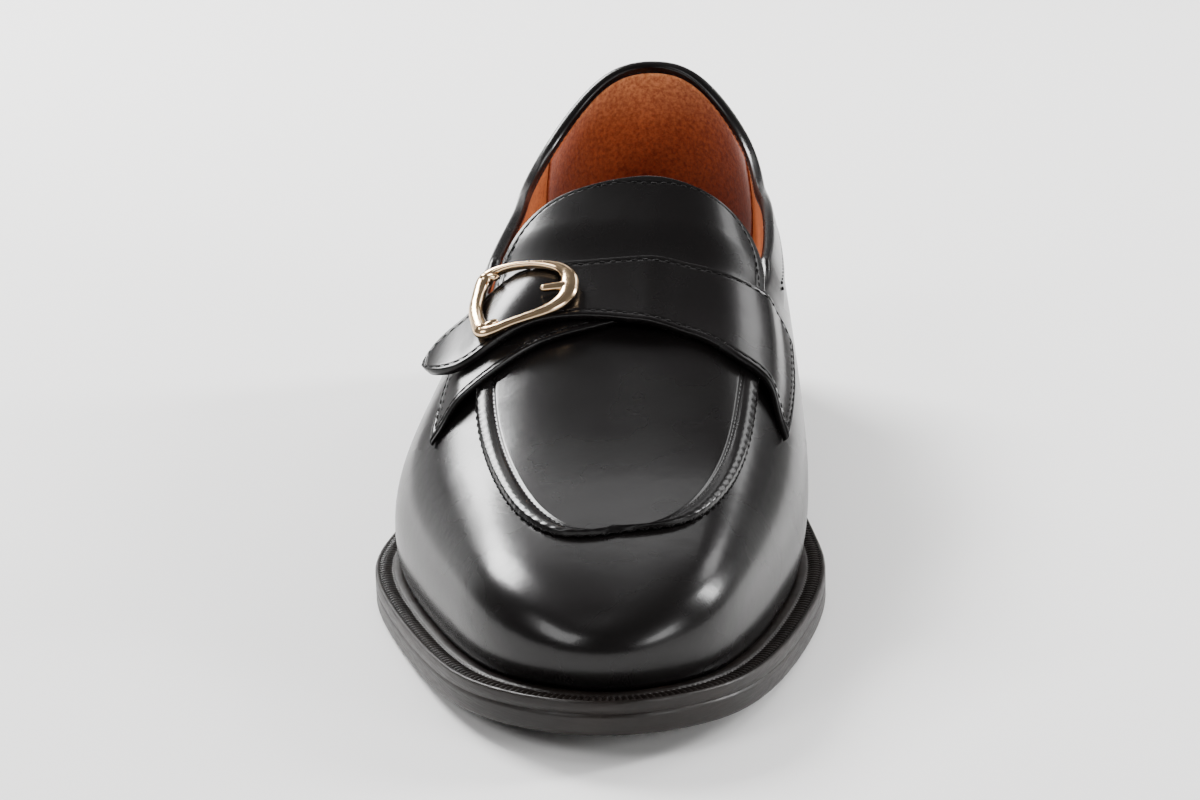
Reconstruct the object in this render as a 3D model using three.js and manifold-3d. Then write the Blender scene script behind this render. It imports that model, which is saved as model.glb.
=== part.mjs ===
// Strapped slip-on dress shoe for the right foot, at its real size in millimetres.
// x runs to the inner side of the foot, y from the toe to the heel and z up from the floor.
import * as THREE from 'three';
import { mergeVertices } from 'three/addons/utils/BufferGeometryUtils.js';
import Module from 'manifold-3d';

// Sizes of the last and of the upper drawn over it
const LENGTH = 268;
const BALL_WIDTH = 92;
const INSTEP_HEIGHT = 58;
const BACK_HEIGHT = 59;
const WALL = 2;
const TUCK = 1.5;
const COLLAR_BAND = 8;
const COLLAR_STEP = 0.6;
const COLLAR_BEVEL = 0.6;

// Sizes of the bottom
const TOE_SPRING = 5.5;
const HEEL_PITCH = 19;
const OUTSOLE = 4.4;
const WELT = 2.7;
const WELT_EDGE = 4.6;
const EDGE_BEVEL = 0.5;
const TOP_PIECE = 6;
const HEEL_TAPER = 1.6;
const BREAST_HOLLOW = 2;
const LIFT_GROOVE = 0.4;
const INSOLE_RISE = 2.2;
const INSOLE_INSET = 1.1;

// Sizes of the overlays and of the buckle
const PLUG = 0.9;
const TONGUE = 1.9;
const TONGUE_SLACK = 0.4;
const RIDGE = 0.4;
const RIDGE_WIDTH = 4.6;
const WING = 1.3;
const STRAP = 1.8;
const TIP_LIFT = 1.4;
const BUCKLE_LENGTH = 20.5;
const BUCKLE_WIDTH = 20;
const BUCKLE_WIRE = 2.6;
const PRONG_LENGTH = 5;

// Clearance between pieces that lie on each other
const CLEAR = 0.3;

// Makes a list of rows with named columns
function table(columns, rows) {
  return rows.map((row) => Object.fromEntries(columns.map((name, i) => [name, row[i]])));
}

// Sections of the last from the toe to the heel: along and spine place the section's foot and crown
// (shares of LENGTH); swing, medial, lateral and crest are its middle, its two half widths and its
// crown's place across (shares of BALL_WIDTH); crown is its height above the feather line (share of
// INSTEP_HEIGHT); edge is how far the sole stands out (share of WELT_EDGE).
const SECTIONS = table(
  ['name', 'along', 'swing', 'medial', 'lateral', 'crest', 'spine', 'crown', 'edge'],
  [
    ['toe tip', 0, 0.109, 0, 0, 0.12, 0.026, 0.238, 1],
    ['toe curve', 0.012, 0.105, 0.118, 0.118, 0.12, 0.033, 0.261, 1],
    ['toe box', 0.052, 0.096, 0.248, 0.248, 0.121, 0.056, 0.318, 1],
    ['toe end', 0.125, 0.078, 0.35, 0.352, 0.123, 0.125, 0.42, 1],
    ['ball front', 0.225, 0.051, 0.438, 0.448, 0.114, 0.225, 0.545, 1],
    ['ball', 0.33, 0.022, 0.49, 0.5, 0.098, 0.33, 0.72, 1],
    ['instep', 0.44, 0.005, 0.455, 0.45, 0.092, 0.44, 0.93, 0.85],
    ['waist', 0.56, 0.011, 0.385, 0.398, 0.092, 0.555, 1.17, 0.55],
    ['shank', 0.69, 0.016, 0.35, 0.35, 0.076, 0.675, 1.42, 0.45],
    ['heel front', 0.81, 0.022, 0.335, 0.335, 0.049, 0.775, 1.5, 0.45],
    ['heel side', 0.915, 0.022, 0.292, 0.292, 0.027, 0.835, 1.52, 0.45],
    ['heel curve', 0.978, 0.022, 0.17, 0.17, 0.022, 0.855, 1.52, 0.45],
    ['heel back', 1, 0.022, 0, 0, 0.022, 0.86, 1.52, 0.45],
  ],
);

// Bend of each section between its foot and its crown: the belly stands out by a share of BALL_WIDTH,
// shoulder and side lie inward by a share of the way to the crown, and all three have a height that is
// a share of the crown's.
const BENDS = table(
  [
    'name',
    'bellyMedial',
    'bellyLateral',
    'bellyUp',
    'shoulderMedial',
    'shoulderLateral',
    'shoulderUp',
    'sideIn',
    'sideUp',
  ],
  [
    ['toe tip', 0, 0, 0.48, 0.15, 0.15, 0.71, 0.45, 0.89],
    ['toe curve', 0.004, 0.004, 0.48, 0.15, 0.15, 0.755, 0.45, 0.92],
    ['toe box', 0.01, 0.01, 0.42, 0.08, 0.08, 0.9, 0.45, 1.03],
    ['toe end', 0.014, 0.014, 0.38, 0.08, 0.08, 0.88, 0.45, 1.04],
    ['ball front', 0.018, 0.02, 0.34, 0.07, 0.08, 0.8, 0.45, 1.03],
    ['ball', 0.03, 0.012, 0.32, 0.03, 0.09, 0.76, 0.45, 1.02],
    ['instep', 0.07, -0.006, 0.36, -0.06, 0.12, 0.74, 0.42, 1],
    ['waist', 0.116, 0.017, 0.36, -0.02, 0.213, 0.7, 0.42, 0.98],
    ['shank', 0.099, 0.019, 0.32, 0.097, 0.287, 0.62, 0.4, 0.97],
    ['heel front', 0.043, 0.037, 0.26, 0.083, 0.122, 0.56, 0.4, 0.97],
    ['heel side', 0.046, 0.036, 0.2, 0.06, 0.06, 0.54, 0.4, 0.97],
    ['heel curve', 0.04, 0.04, 0.18, 0.06, 0.06, 0.54, 0.4, 0.97],
    ['heel back', 0.042, 0.042, 0.18, 0.06, 0.06, 0.54, 0.4, 0.97],
  ],
);

// Height of the top line above the feather line, a share of BACK_HEIGHT, from the instep section back
const TOP_LINE = table(
  ['name', 'height'],
  [
    ['instep', 0.9],
    ['waist', 0.77],
    ['shank', 0.673],
    ['heel front', 0.607],
    ['heel side', 0.726],
    ['heel curve', 0.94],
    ['heel back', 1],
  ],
);

// Places along the shoe, shares of LENGTH
const TREAD_FRONT = 0.3;
const TREAD_BACK = 0.373;
const ARCH_END = 0.762;
const HEEL_BREAST = 0.775;
const THROAT = 0.418;
const COLLAR_START = 0.545;

// Outlines drawn on the upper. along is a share of LENGTH, girth runs from -1 at the medial feather
// line over 0 at the crown to 1 at the lateral one.
const PLUG_OUTLINE = table(
  ['medialAlong', 'medialGirth', 'lateralAlong', 'lateralGirth'],
  [
    [0.1188, 0.05, 0.1188, 0.05],
    [0.1245, -0.06, 0.116, 0.15],
    [0.13, -0.2, 0.119, 0.225],
    [0.143, -0.32, 0.131, 0.29],
    [0.172, -0.405, 0.158, 0.352],
    [0.215, -0.455, 0.205, 0.392],
    [0.27, -0.478, 0.265, 0.412],
    [0.345, -0.487, 0.34, 0.418],
    [0.415, -0.515, 0.415, 0.425],
    [0.47, -0.545, 0.463, 0.445],
    [0.503, -0.545, 0.49, 0.42],
    [0.5215, -0.5, 0.508, 0.375],
    [0.531, -0.38, 0.5235, 0.285],
    [0.538, -0.2, 0.534, 0.15],
    [0.5415, -0.03, 0.5415, -0.03],
  ],
);
const STRAP_EDGES = table(
  ['frontAlong', 'frontGirth', 'backAlong', 'backGirth'],
  [
    [0.308, -0.63, 0.444, -0.66],
    [0.332, -0.55, 0.459, -0.6],
    [0.3485, -0.48, 0.457, -0.5],
    [0.355, -0.385, 0.4535, -0.395],
    [0.369, -0.26, 0.452, -0.26],
    [0.379, -0.09, 0.4535, -0.08],
    [0.386, 0.11, 0.449, 0.14],
    [0.377, 0.27, 0.445, 0.3],
    [0.3525, 0.4, 0.4215, 0.43],
    [0.349, 0.49, 0.407, 0.52],
    [0.362, 0.555, 0.3955, 0.57],
    [0.381, 0.592, 0.381, 0.592],
  ],
);
const WING_EDGES = table(
  ['frontAlong', 'frontGirth', 'backAlong', 'backGirth'],
  [
    [0.392, -0.02, 0.433, -0.02],
    [0.377, 0.12, 0.4365, 0.12],
    [0.362, 0.235, 0.44, 0.22],
    [0.337, 0.35, 0.442, 0.32],
    [0.3155, 0.455, 0.441, 0.4],
    [0.289, 0.59, 0.4365, 0.475],
  ],
);

// Where the strap and the wing climb over what lies under them, as places round the girth
const STRAP_ON_PLUG = { low: -0.6, high: -0.5 };
const STRAP_ON_WING = { low: -0.22, high: -0.06 };
const STRAP_TIP = { low: 0.44, high: 0.6 };
const WING_ON_PLUG = { low: 0.45, high: 0.56 };
const TONGUE_START = { low: 0.46, high: 0.5 };
const RIDGE_END = { low: 0.28, high: 0.315 };
const SLACK_START = { low: 0.36, high: 0.41 };
const COLLAR_RISE = { low: 0.505, high: 0.56 };

// The buckle's two ends on the upper, and its ring as shares of its length and width
const BUCKLE_ROUND_END = { along: 0.414, girth: 0.135 };
const BUCKLE_BAR = { along: 0.405, girth: 0.425 };
const RING = table(
  ['name', 'out', 'side'],
  [
    ['bar middle', 0.5, 0],
    ['bar', 0.5, 0.26],
    ['bar corner', 0.49, 0.43],
    ['corner', 0.42, 0.5],
    ['arm root', 0.25, 0.5],
    ['arm', 0.02, 0.45],
    ['arm end', -0.22, 0.37],
    ['bow side', -0.39, 0.26],
    ['bow', -0.48, 0.13],
    ['round end', -0.5, 0],
  ],
);

// Smooth rise from 0 at low to 1 at high
function rise(value, low, high) {
  const t = THREE.MathUtils.clamp((value - low) / (high - low), 0, 1);
  return t * t * (3 - 2 * t);
}

// Control values of a uniform cubic spline through the given values. A loop closes on itself, an even
// end is flat and an odd end runs on straight.
function solveControls(values, start, end) {
  const controls = [...values];
  const last = values.length - 1;
  const SWEEPS = 60;
  const beyond = (kind, edge, inner) => (kind === 'even' ? inner : 2 * edge - inner);
  for (let sweep = 0; sweep < SWEEPS; sweep += 1) {
    for (let i = 0; i <= last; i += 1) {
      let before = controls[i - 1];
      let after = controls[i + 1];
      if (i === 0) {
        before = start === 'loop' ? controls[last] : beyond(start, controls[0], controls[1]);
      }
      if (i === last) {
        after = start === 'loop' ? controls[0] : beyond(end, controls[last], controls[last - 1]);
      }
      controls[i] = (6 * values[i] - before - after) / 4;
    }
  }
  return controls;
}

// A function of the row number that runs smoothly through the values
function splineThrough(values, start, end) {
  const controls = solveControls(values, start, end);
  const last = controls.length - 1;
  const control = (i) => {
    if (start === 'loop') {
      return controls[(i + controls.length) % controls.length];
    }
    if (i < 0) {
      return start === 'even' ? controls[1] : 2 * controls[0] - controls[1];
    }
    if (i > last) {
      return end === 'even' ? controls[last - 1] : 2 * controls[last] - controls[last - 1];
    }
    return controls[i];
  };
  return (place) => {
    const top = start === 'loop' ? Infinity : last - 1;
    const i = Math.min(Math.floor(place), top);
    const f = place - i;
    const a = (1 - f) ** 3 * control(i - 1);
    const b = (3 * f ** 3 - 6 * f ** 2 + 4) * control(i);
    const c = (-3 * f ** 3 + 3 * f ** 2 + 3 * f + 1) * control(i + 1);
    const d = f ** 3 * control(i + 2);
    return (a + b + c + d) / 6;
  };
}

const column = (rows, name) => rows.map((row) => row[name]);

// A loop that goes from the first row down the medial column and back up the lateral one
function loopThrough(medial, lateral) {
  return splineThrough([...medial, ...lateral.slice(1, -1).reverse()], 'loop');
}

// Stations count the sections, and places round the foot count on from the heel back to the toe
const HEEL_STATION = SECTIONS.length - 1;
const ROUND = 2 * HEEL_STATION;
const footAlong = loopThrough(column(SECTIONS, 'along'), column(SECTIONS, 'along'));
const footAcross = loopThrough(
  SECTIONS.map((row) => row.swing + row.medial),
  SECTIONS.map((row) => row.swing - row.lateral),
);
const footEdge = loopThrough(column(SECTIONS, 'edge'), column(SECTIONS, 'edge'));
const spineAlong = splineThrough(column(SECTIONS, 'spine'), 'even', 'even');
const spineAcross = splineThrough(column(SECTIONS, 'crest'), 'even', 'even');
const crownHeight = splineThrough(column(SECTIONS, 'crown'), 'even', 'even');
const bend = {
  belly: loopThrough(column(BENDS, 'bellyMedial'), column(BENDS, 'bellyLateral')),
  bellyUp: loopThrough(column(BENDS, 'bellyUp'), column(BENDS, 'bellyUp')),
  shoulder: loopThrough(column(BENDS, 'shoulderMedial'), column(BENDS, 'shoulderLateral')),
  shoulderUp: loopThrough(column(BENDS, 'shoulderUp'), column(BENDS, 'shoulderUp')),
  side: loopThrough(column(BENDS, 'sideIn'), column(BENDS, 'sideIn')),
  sideUp: loopThrough(column(BENDS, 'sideUp'), column(BENDS, 'sideUp')),
};
const FIRST_TOP_STATION = SECTIONS.findIndex((row) => row.name === TOP_LINE[0].name);
const topLineHeight = splineThrough(column(TOP_LINE, 'height'), 'odd', 'even');

// Height of the outsole's underside above the floor
function groundHeight(y) {
  const along = y / LENGTH;
  const toe = Math.max((TREAD_FRONT - along) / TREAD_FRONT, 0);
  return TOE_SPRING * toe ** 2 + HEEL_PITCH * rise(along, TREAD_BACK, ARCH_END);
}

// Height of the feather line, where the upper meets the welt
const FEATHER = OUTSOLE + CLEAR + WELT;
const featherHeight = (y) => groundHeight(y) + FEATHER + CLEAR;

// Station of a place along the shoe
function stationAt(along) {
  let low = 0;
  let high = HEEL_STATION;
  const HALVINGS = 40;
  for (let i = 0; i < HALVINGS; i += 1) {
    const middle = (low + high) / 2;
    if (footAlong(middle) < along) {
      low = middle;
    } else {
      high = middle;
    }
  }
  return (low + high) / 2;
}

// The foot's outline in plan, moved out by a margin
const STEP = 1e-3;
function outlinePoint(place, margin) {
  const x = (p) => footAcross((p + ROUND) % ROUND) * BALL_WIDTH;
  const y = (p) => footAlong((p + ROUND) % ROUND) * LENGTH;
  const run = new THREE.Vector2(x(place + STEP) - x(place - STEP), y(place + STEP) - y(place - STEP));
  run.normalize();
  return new THREE.Vector2(x(place) + run.y * margin, y(place) - run.x * margin);
}

// Control points of one half section, from its foot, which is tucked in under it, to its crown. Where
// the section is narrow, at the toe tip and at the heel back, its belly fades out.
function halfSection(place) {
  const station = Math.min(place, ROUND - place);
  const foot = outlinePoint(place, 0);
  const tucked = outlinePoint(place, -TUCK);
  const top = new THREE.Vector2(spineAcross(station) * BALL_WIDTH, spineAlong(station) * LENGTH);
  const run = top.distanceTo(foot);
  const inward = top.clone().sub(foot).divideScalar(Math.max(run, 1e-6));
  const crown = crownHeight(station) * INSTEP_HEIGHT;
  const base = featherHeight(foot.y);
  const NARROW = 20;
  const control = (way, up) => {
    const p = foot.clone().addScaledVector(inward, way);
    return new THREE.Vector3(p.x, p.y, base + up);
  };
  return [
    new THREE.Vector3(tucked.x, tucked.y, base),
    control(-bend.belly(place) * BALL_WIDTH * Math.min(1, run / NARROW), bend.bellyUp(place) * crown),
    control(bend.shoulder(place) * run, bend.shoulderUp(place) * crown),
    control(bend.side(place) * run, bend.sideUp(place) * crown),
    control(run, crown),
  ];
}

// Point of the upper's outer surface at a station and a place round the girth
const DEGREE = 3;
function surfacePoint(station, girth) {
  if (station > HEEL_STATION) {
    return surfacePoint(ROUND - station, -girth);
  }
  const medial = halfSection(station);
  const lateral = halfSection(ROUND - station);
  const crown = medial[4].clone().add(lateral[4]).divideScalar(2);
  const points = [...medial.slice(0, 4), crown, ...lateral.slice(0, 4).reverse()];
  const spans = points.length - DEGREE;
  const knot = (i) => THREE.MathUtils.clamp(i - DEGREE, 0, spans);
  const t = THREE.MathUtils.clamp(((girth + 1) / 2) * spans, 0, spans);
  const span = Math.min(Math.floor(t), spans - 1) + DEGREE;
  const local = [];
  for (let j = 0; j <= DEGREE; j += 1) {
    local.push(points[span - DEGREE + j].clone());
  }
  for (let round = 1; round <= DEGREE; round += 1) {
    for (let j = DEGREE; j >= round; j -= 1) {
      const i = span - DEGREE + j;
      const share = (t - knot(i)) / (knot(i + DEGREE + 1 - round) - knot(i));
      local[j].lerpVectors(local[j - 1], local[j], share);
    }
  }
  return local[DEGREE];
}

// Outward direction of the upper's surface
function surfaceNormal(station, girth) {
  const s = Math.max(station, 5 * STEP);
  const g = THREE.MathUtils.clamp(girth, STEP - 1, 1 - STEP);
  const alongWay = surfacePoint(s + STEP, g).sub(surfacePoint(s - STEP, g));
  const roundWay = surfacePoint(s, g + STEP).sub(surfacePoint(s, g - STEP));
  return alongWay.cross(roundWay).normalize();
}

// Point at a height above the upper's surface
function lifted(station, girth, height) {
  return surfacePoint(station, girth).addScaledVector(surfaceNormal(station, girth), height);
}

// Girth at which a section reaches a height above the feather line, on the side -1 or 1
function girthAtHeight(station, side, height) {
  const base = featherHeight(footAlong(station) * LENGTH);
  let low = 0;
  let high = 1;
  const HALVINGS = 30;
  for (let i = 0; i < HALVINGS; i += 1) {
    const middle = (low + high) / 2;
    if (surfacePoint(station, side * middle).z - base > height) {
      low = middle;
    } else {
      high = middle;
    }
  }
  return (low + high) / 2;
}

const THROAT_STATION = stationAt(THROAT);
const COLLAR_STATION = stationAt(COLLAR_START);
const topHeight = (station) => topLineHeight(station - FIRST_TOP_STATION) * BACK_HEIGHT;
const collarGirth = {};
for (const side of [-1, 1]) {
  collarGirth[side] = {
    top: girthAtHeight(COLLAR_STATION, side, topHeight(COLLAR_STATION)),
    band: girthAtHeight(COLLAR_STATION, side, topHeight(COLLAR_STATION) - COLLAR_BAND),
  };
}

// Girth of the upper's top edge: the crown in front of the throat, a round throat, then the collar
function topGirth(station, side) {
  if (station <= THROAT_STATION) {
    return 0;
  }
  if (station < COLLAR_STATION) {
    const share = (footAlong(station) - THROAT) / (COLLAR_START - THROAT);
    return collarGirth[side].top * Math.sqrt(Math.max(1 - (1 - share) ** 2, 0));
  }
  return girthAtHeight(station, side, topHeight(station));
}

// Girth of the collar band's lower edge
function bandGirth(station, side) {
  if (station < COLLAR_STATION) {
    return topGirth(station, side) + collarGirth[side].band - collarGirth[side].top;
  }
  return girthAtHeight(station, side, topHeight(station) - COLLAR_BAND);
}

// Solids from grids of points
function toGeometry(triangles) {
  const positions = new Float32Array(triangles.length * 9);
  triangles.forEach((corners, i) => {
    corners.forEach((corner, j) => corner.toArray(positions, i * 9 + j * 3));
  });
  const raw = new THREE.BufferGeometry();
  raw.setAttribute('position', new THREE.BufferAttribute(positions, 3));
  const MERGE = 2e-3;
  const merged = mergeVertices(raw, MERGE);
  const index = merged.getIndex().array;
  const kept = [];
  for (let i = 0; i < index.length; i += 3) {
    const [a, b, c] = [index[i], index[i + 1], index[i + 2]];
    if (a !== b && b !== c && c !== a) {
      kept.push(a, b, c);
    }
  }
  merged.setIndex(kept);
  let volume = 0;
  const corner = [new THREE.Vector3(), new THREE.Vector3(), new THREE.Vector3()];
  for (let i = 0; i < kept.length; i += 3) {
    corner.forEach((p, j) => p.fromBufferAttribute(merged.getAttribute('position'), kept[i + j]));
    volume += corner[0].dot(corner[1].clone().cross(corner[2]));
  }
  if (volume < 0) {
    merged.setIndex(kept.reverse());
  }
  merged.computeVertexNormals();
  return merged;
}

// One closed skin from an outer and an inner grid. rimFirst and rimLast say where the first and the last
// column get a rim, and a capped grid gets rims on its first and last row too.
function skin(outer, inner, { closed, capped, rimFirst, rimLast }) {
  const triangles = [];
  const quad = (a, b, c, d) => {
    triangles.push([a, b, c], [a, c, d]);
  };
  const rows = outer.length;
  const lastColumn = outer[0].length - 1;
  const steps = closed ? rows : rows - 1;
  for (let i = 0; i < steps; i += 1) {
    const next = (i + 1) % rows;
    for (let j = 0; j < lastColumn; j += 1) {
      quad(outer[i][j], outer[next][j], outer[next][j + 1], outer[i][j + 1]);
      quad(inner[i][j], inner[i][j + 1], inner[next][j + 1], inner[next][j]);
    }
    if (rimFirst(i)) {
      quad(outer[i][0], inner[i][0], inner[next][0], outer[next][0]);
    }
    if (rimLast(i)) {
      quad(outer[i][lastColumn], outer[next][lastColumn], inner[next][lastColumn], inner[i][lastColumn]);
    }
  }
  if (capped) {
    const end = rows - 1;
    for (let j = 0; j < lastColumn; j += 1) {
      quad(outer[0][j], outer[0][j + 1], inner[0][j + 1], inner[0][j]);
      quad(outer[end][j], inner[end][j], inner[end][j + 1], outer[end][j + 1]);
    }
  }
  return toGeometry(triangles);
}

const always = () => true;
const never = () => false;

// Even steps from one value to another, the end included
function steps(from, to, count) {
  return Array.from({ length: count + 1 }, (unused, i) => from + ((to - from) * i) / count);
}

// Stations from the toe to the heel back, close together where the plan bends
const TREAD_STATIONS = [stationAt(TREAD_FRONT), stationAt(TREAD_BACK)];
function soleStations() {
  const plain = [0, 0.3, 0.55, 0.85, ...steps(1.2, HEEL_STATION - 0.9, 26)];
  const round = [...steps(HEEL_STATION - 0.6, HEEL_STATION, 4)];
  return [...plain, ...round, ...TREAD_STATIONS].sort((a, b) => a - b);
}

// How far the sole stands out of the foot's outline
const soleMargin = (place) => footEdge(place) * WELT_EDGE;

// A plate between two heights above the ground, its outline at a margin from the foot and its lower
// edge bevelled
function plate(margin, bottomHeight, topHeightAbove, bevel) {
  const MIDDLE = 0.5;
  const rows = (shares, height, inset) =>
    soleStations().map((station) => {
      const medial = outlinePoint(station, margin(station) - inset);
      const lateral = outlinePoint(ROUND - station, margin(ROUND - station) - inset);
      return shares.map((share) => {
        const p = medial.clone().lerp(lateral, share);
        return new THREE.Vector3(p.x, p.y, groundHeight(p.y) + height);
      });
    });
  const top = rows([0, MIDDLE, 1], topHeightAbove, 0);
  const side = rows([0, 1], bottomHeight + bevel, 0);
  const bottom = rows([0, 0, MIDDLE, 1, 1], bottomHeight, bevel);
  const outer = top.map((row, i) => [side[i][0], ...row, side[i][1]]);
  return skin(outer, bottom, { closed: false, capped: false, rimFirst: always, rimLast: always });
}

// The welt, a band on top of the outsole that reaches in under the upper's wall
function weltGeometry() {
  const under = TUCK + WALL + CLEAR;
  const low = OUTSOLE + CLEAR;
  const high = low + WELT;
  const stations = soleStations();
  const places = [...stations, ...stations.slice(1, -1).reverse().map((station) => ROUND - station)];
  const ring = (margin, height) =>
    places.map((place) => {
      const p = outlinePoint(place, margin(place));
      return new THREE.Vector3(p.x, p.y, groundHeight(p.y) + height);
    });
  const edge = (inset) => (place) => soleMargin(place) - inset;
  const inner = () => -under;
  const rings = [
    ring(inner, low),
    ring(inner, high),
    ring(edge(EDGE_BEVEL + CLEAR), high),
    ring(edge(CLEAR), high - EDGE_BEVEL),
    ring(edge(CLEAR), low),
  ];
  const side = (order) => places.map((unused, i) => order.map((ring) => rings[ring][i]));
  const upperSide = side([0, 1, 2, 3, 4]);
  const lowerSide = side([0, 0, 4, 4, 4]);
  return skin(upperSide, lowerSide, { closed: true, capped: false, rimFirst: never, rimLast: never });
}

// Flat loops one above the other, closed by a flat face below and above
function stack(loops) {
  const triangles = [];
  const count = loops[0].length;
  for (let level = 0; level < loops.length - 1; level += 1) {
    for (let i = 0; i < count; i += 1) {
      const next = (i + 1) % count;
      const [a, b] = [loops[level][i], loops[level][next]];
      const [c, d] = [loops[level + 1][next], loops[level + 1][i]];
      triangles.push([a, b, c], [a, c, d]);
    }
  }
  const flat = (loop) => loop.map((p) => new THREE.Vector2(p.x, p.y));
  const first = loops[0];
  const last = loops[loops.length - 1];
  const clockwise = THREE.ShapeUtils.isClockWise(flat(first));
  const faces = (loop) => THREE.ShapeUtils.triangulateShape(flat(loop), []);
  const turned = (loop, [a, b, c], up) => (up ? [loop[a], loop[b], loop[c]] : [loop[a], loop[c], loop[b]]);
  faces(first).forEach((face) => triangles.push(turned(first, face, clockwise)));
  faces(last).forEach((face) => triangles.push(turned(last, face, !clockwise)));
  return toGeometry(triangles);
}

// Outline of the heel at a height, set in from the sole's edge, with a hollow breast
function heelLoop(inset, z) {
  const ROUND_COUNT = 26;
  const BREAST_COUNT = 6;
  const start = stationAt(HEEL_BREAST);
  const round = steps(start, ROUND - start, ROUND_COUNT).map((place) => {
    const p = outlinePoint(place, soleMargin(place) - inset);
    return new THREE.Vector3(p.x, p.y, z);
  });
  const [from, to] = [round[ROUND_COUNT], round[0]];
  const breast = steps(0, 1, BREAST_COUNT).slice(1, -1).map((share) => {
    const p = from.clone().lerp(to, share);
    p.y += BREAST_HOLLOW * 4 * share * (1 - share);
    return p;
  });
  return [...round, ...breast];
}

// The heel under the outsole, leather lifts with a groove at each joint
function heelStackGeometry() {
  const LIFTS = 3;
  const low = TOP_PIECE + CLEAR;
  const high = HEEL_PITCH - CLEAR;
  const inset = (z) => CLEAR + (HEEL_TAPER * (HEEL_PITCH - z)) / HEEL_PITCH;
  const loops = [heelLoop(inset(low), low)];
  for (let lift = 1; lift < LIFTS; lift += 1) {
    const z = low + ((high - low) * lift) / LIFTS;
    loops.push(heelLoop(inset(z), z - LIFT_GROOVE));
    loops.push(heelLoop(inset(z) + LIFT_GROOVE, z));
    loops.push(heelLoop(inset(z), z + LIFT_GROOVE));
  }
  loops.push(heelLoop(inset(high), high));
  return stack(loops);
}

function topPieceGeometry() {
  const inset = CLEAR + HEEL_TAPER;
  return stack([
    heelLoop(inset + EDGE_BEVEL, 0),
    heelLoop(inset, EDGE_BEVEL),
    heelLoop(inset - CLEAR, TOP_PIECE),
  ]);
}

// The upper, a hollow shell with its rims along the feather line and the top line
function upperGeometry() {
  const WALL_COLUMNS = 10;
  const THROAT_ROWS = 8;
  const throat = steps(0, 1, THROAT_ROWS).map((share) => {
    const opening = 1 - Math.cos((share * Math.PI) / 2);
    return stationAt(THROAT + (COLLAR_START - THROAT) * opening);
  });
  const toe = [0, 0.35, 0.7, ...steps(1, 5, 12)];
  const vamp = steps(5, THROAT_STATION, 4).slice(1, -1);
  const quarters = steps(COLLAR_STATION, HEEL_STATION, 16).slice(1);
  const stations = [...toe, ...vamp, ...throat, ...quarters];
  const places = [...stations, ...stations.slice(1, -1).reverse().map((station) => ROUND - station)];
  const outer = [];
  const inner = [];
  for (const place of places) {
    const side = place <= HEEL_STATION ? -1 : 1;
    const station = Math.min(place, ROUND - place);
    const top = topGirth(station, side);
    const band = bandGirth(station, side);
    const ledge = band + ((top - band) * COLLAR_BEVEL) / COLLAR_BAND;
    const girths = [...steps(1, band, WALL_COLUMNS), ledge, (ledge + top) / 2, top];
    const step = COLLAR_STEP * rise(footAlong(station), COLLAR_RISE.low, COLLAR_RISE.high);
    const outerRow = [];
    const innerRow = [];
    girths.forEach((girth, j) => {
      const skinPoint = surfacePoint(station, side * girth);
      const out = surfaceNormal(station, side * girth);
      if (j === 0) {
        out.setZ(0).normalize();
      }
      outerRow.push(skinPoint.clone().addScaledVector(out, j > WALL_COLUMNS ? step : 0));
      innerRow.push(skinPoint.addScaledVector(out, -WALL));
    });
    outer.push(outerRow);
    inner.push(innerRow);
  }
  const open = (i) => {
    const next = (i + 1) % places.length;
    return Math.min(places[i], ROUND - places[i]) >= THROAT_STATION
      && Math.min(places[next], ROUND - places[next]) >= THROAT_STATION;
  };
  return skin(outer, inner, { closed: true, capped: false, rimFirst: always, rimLast: open });
}

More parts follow.
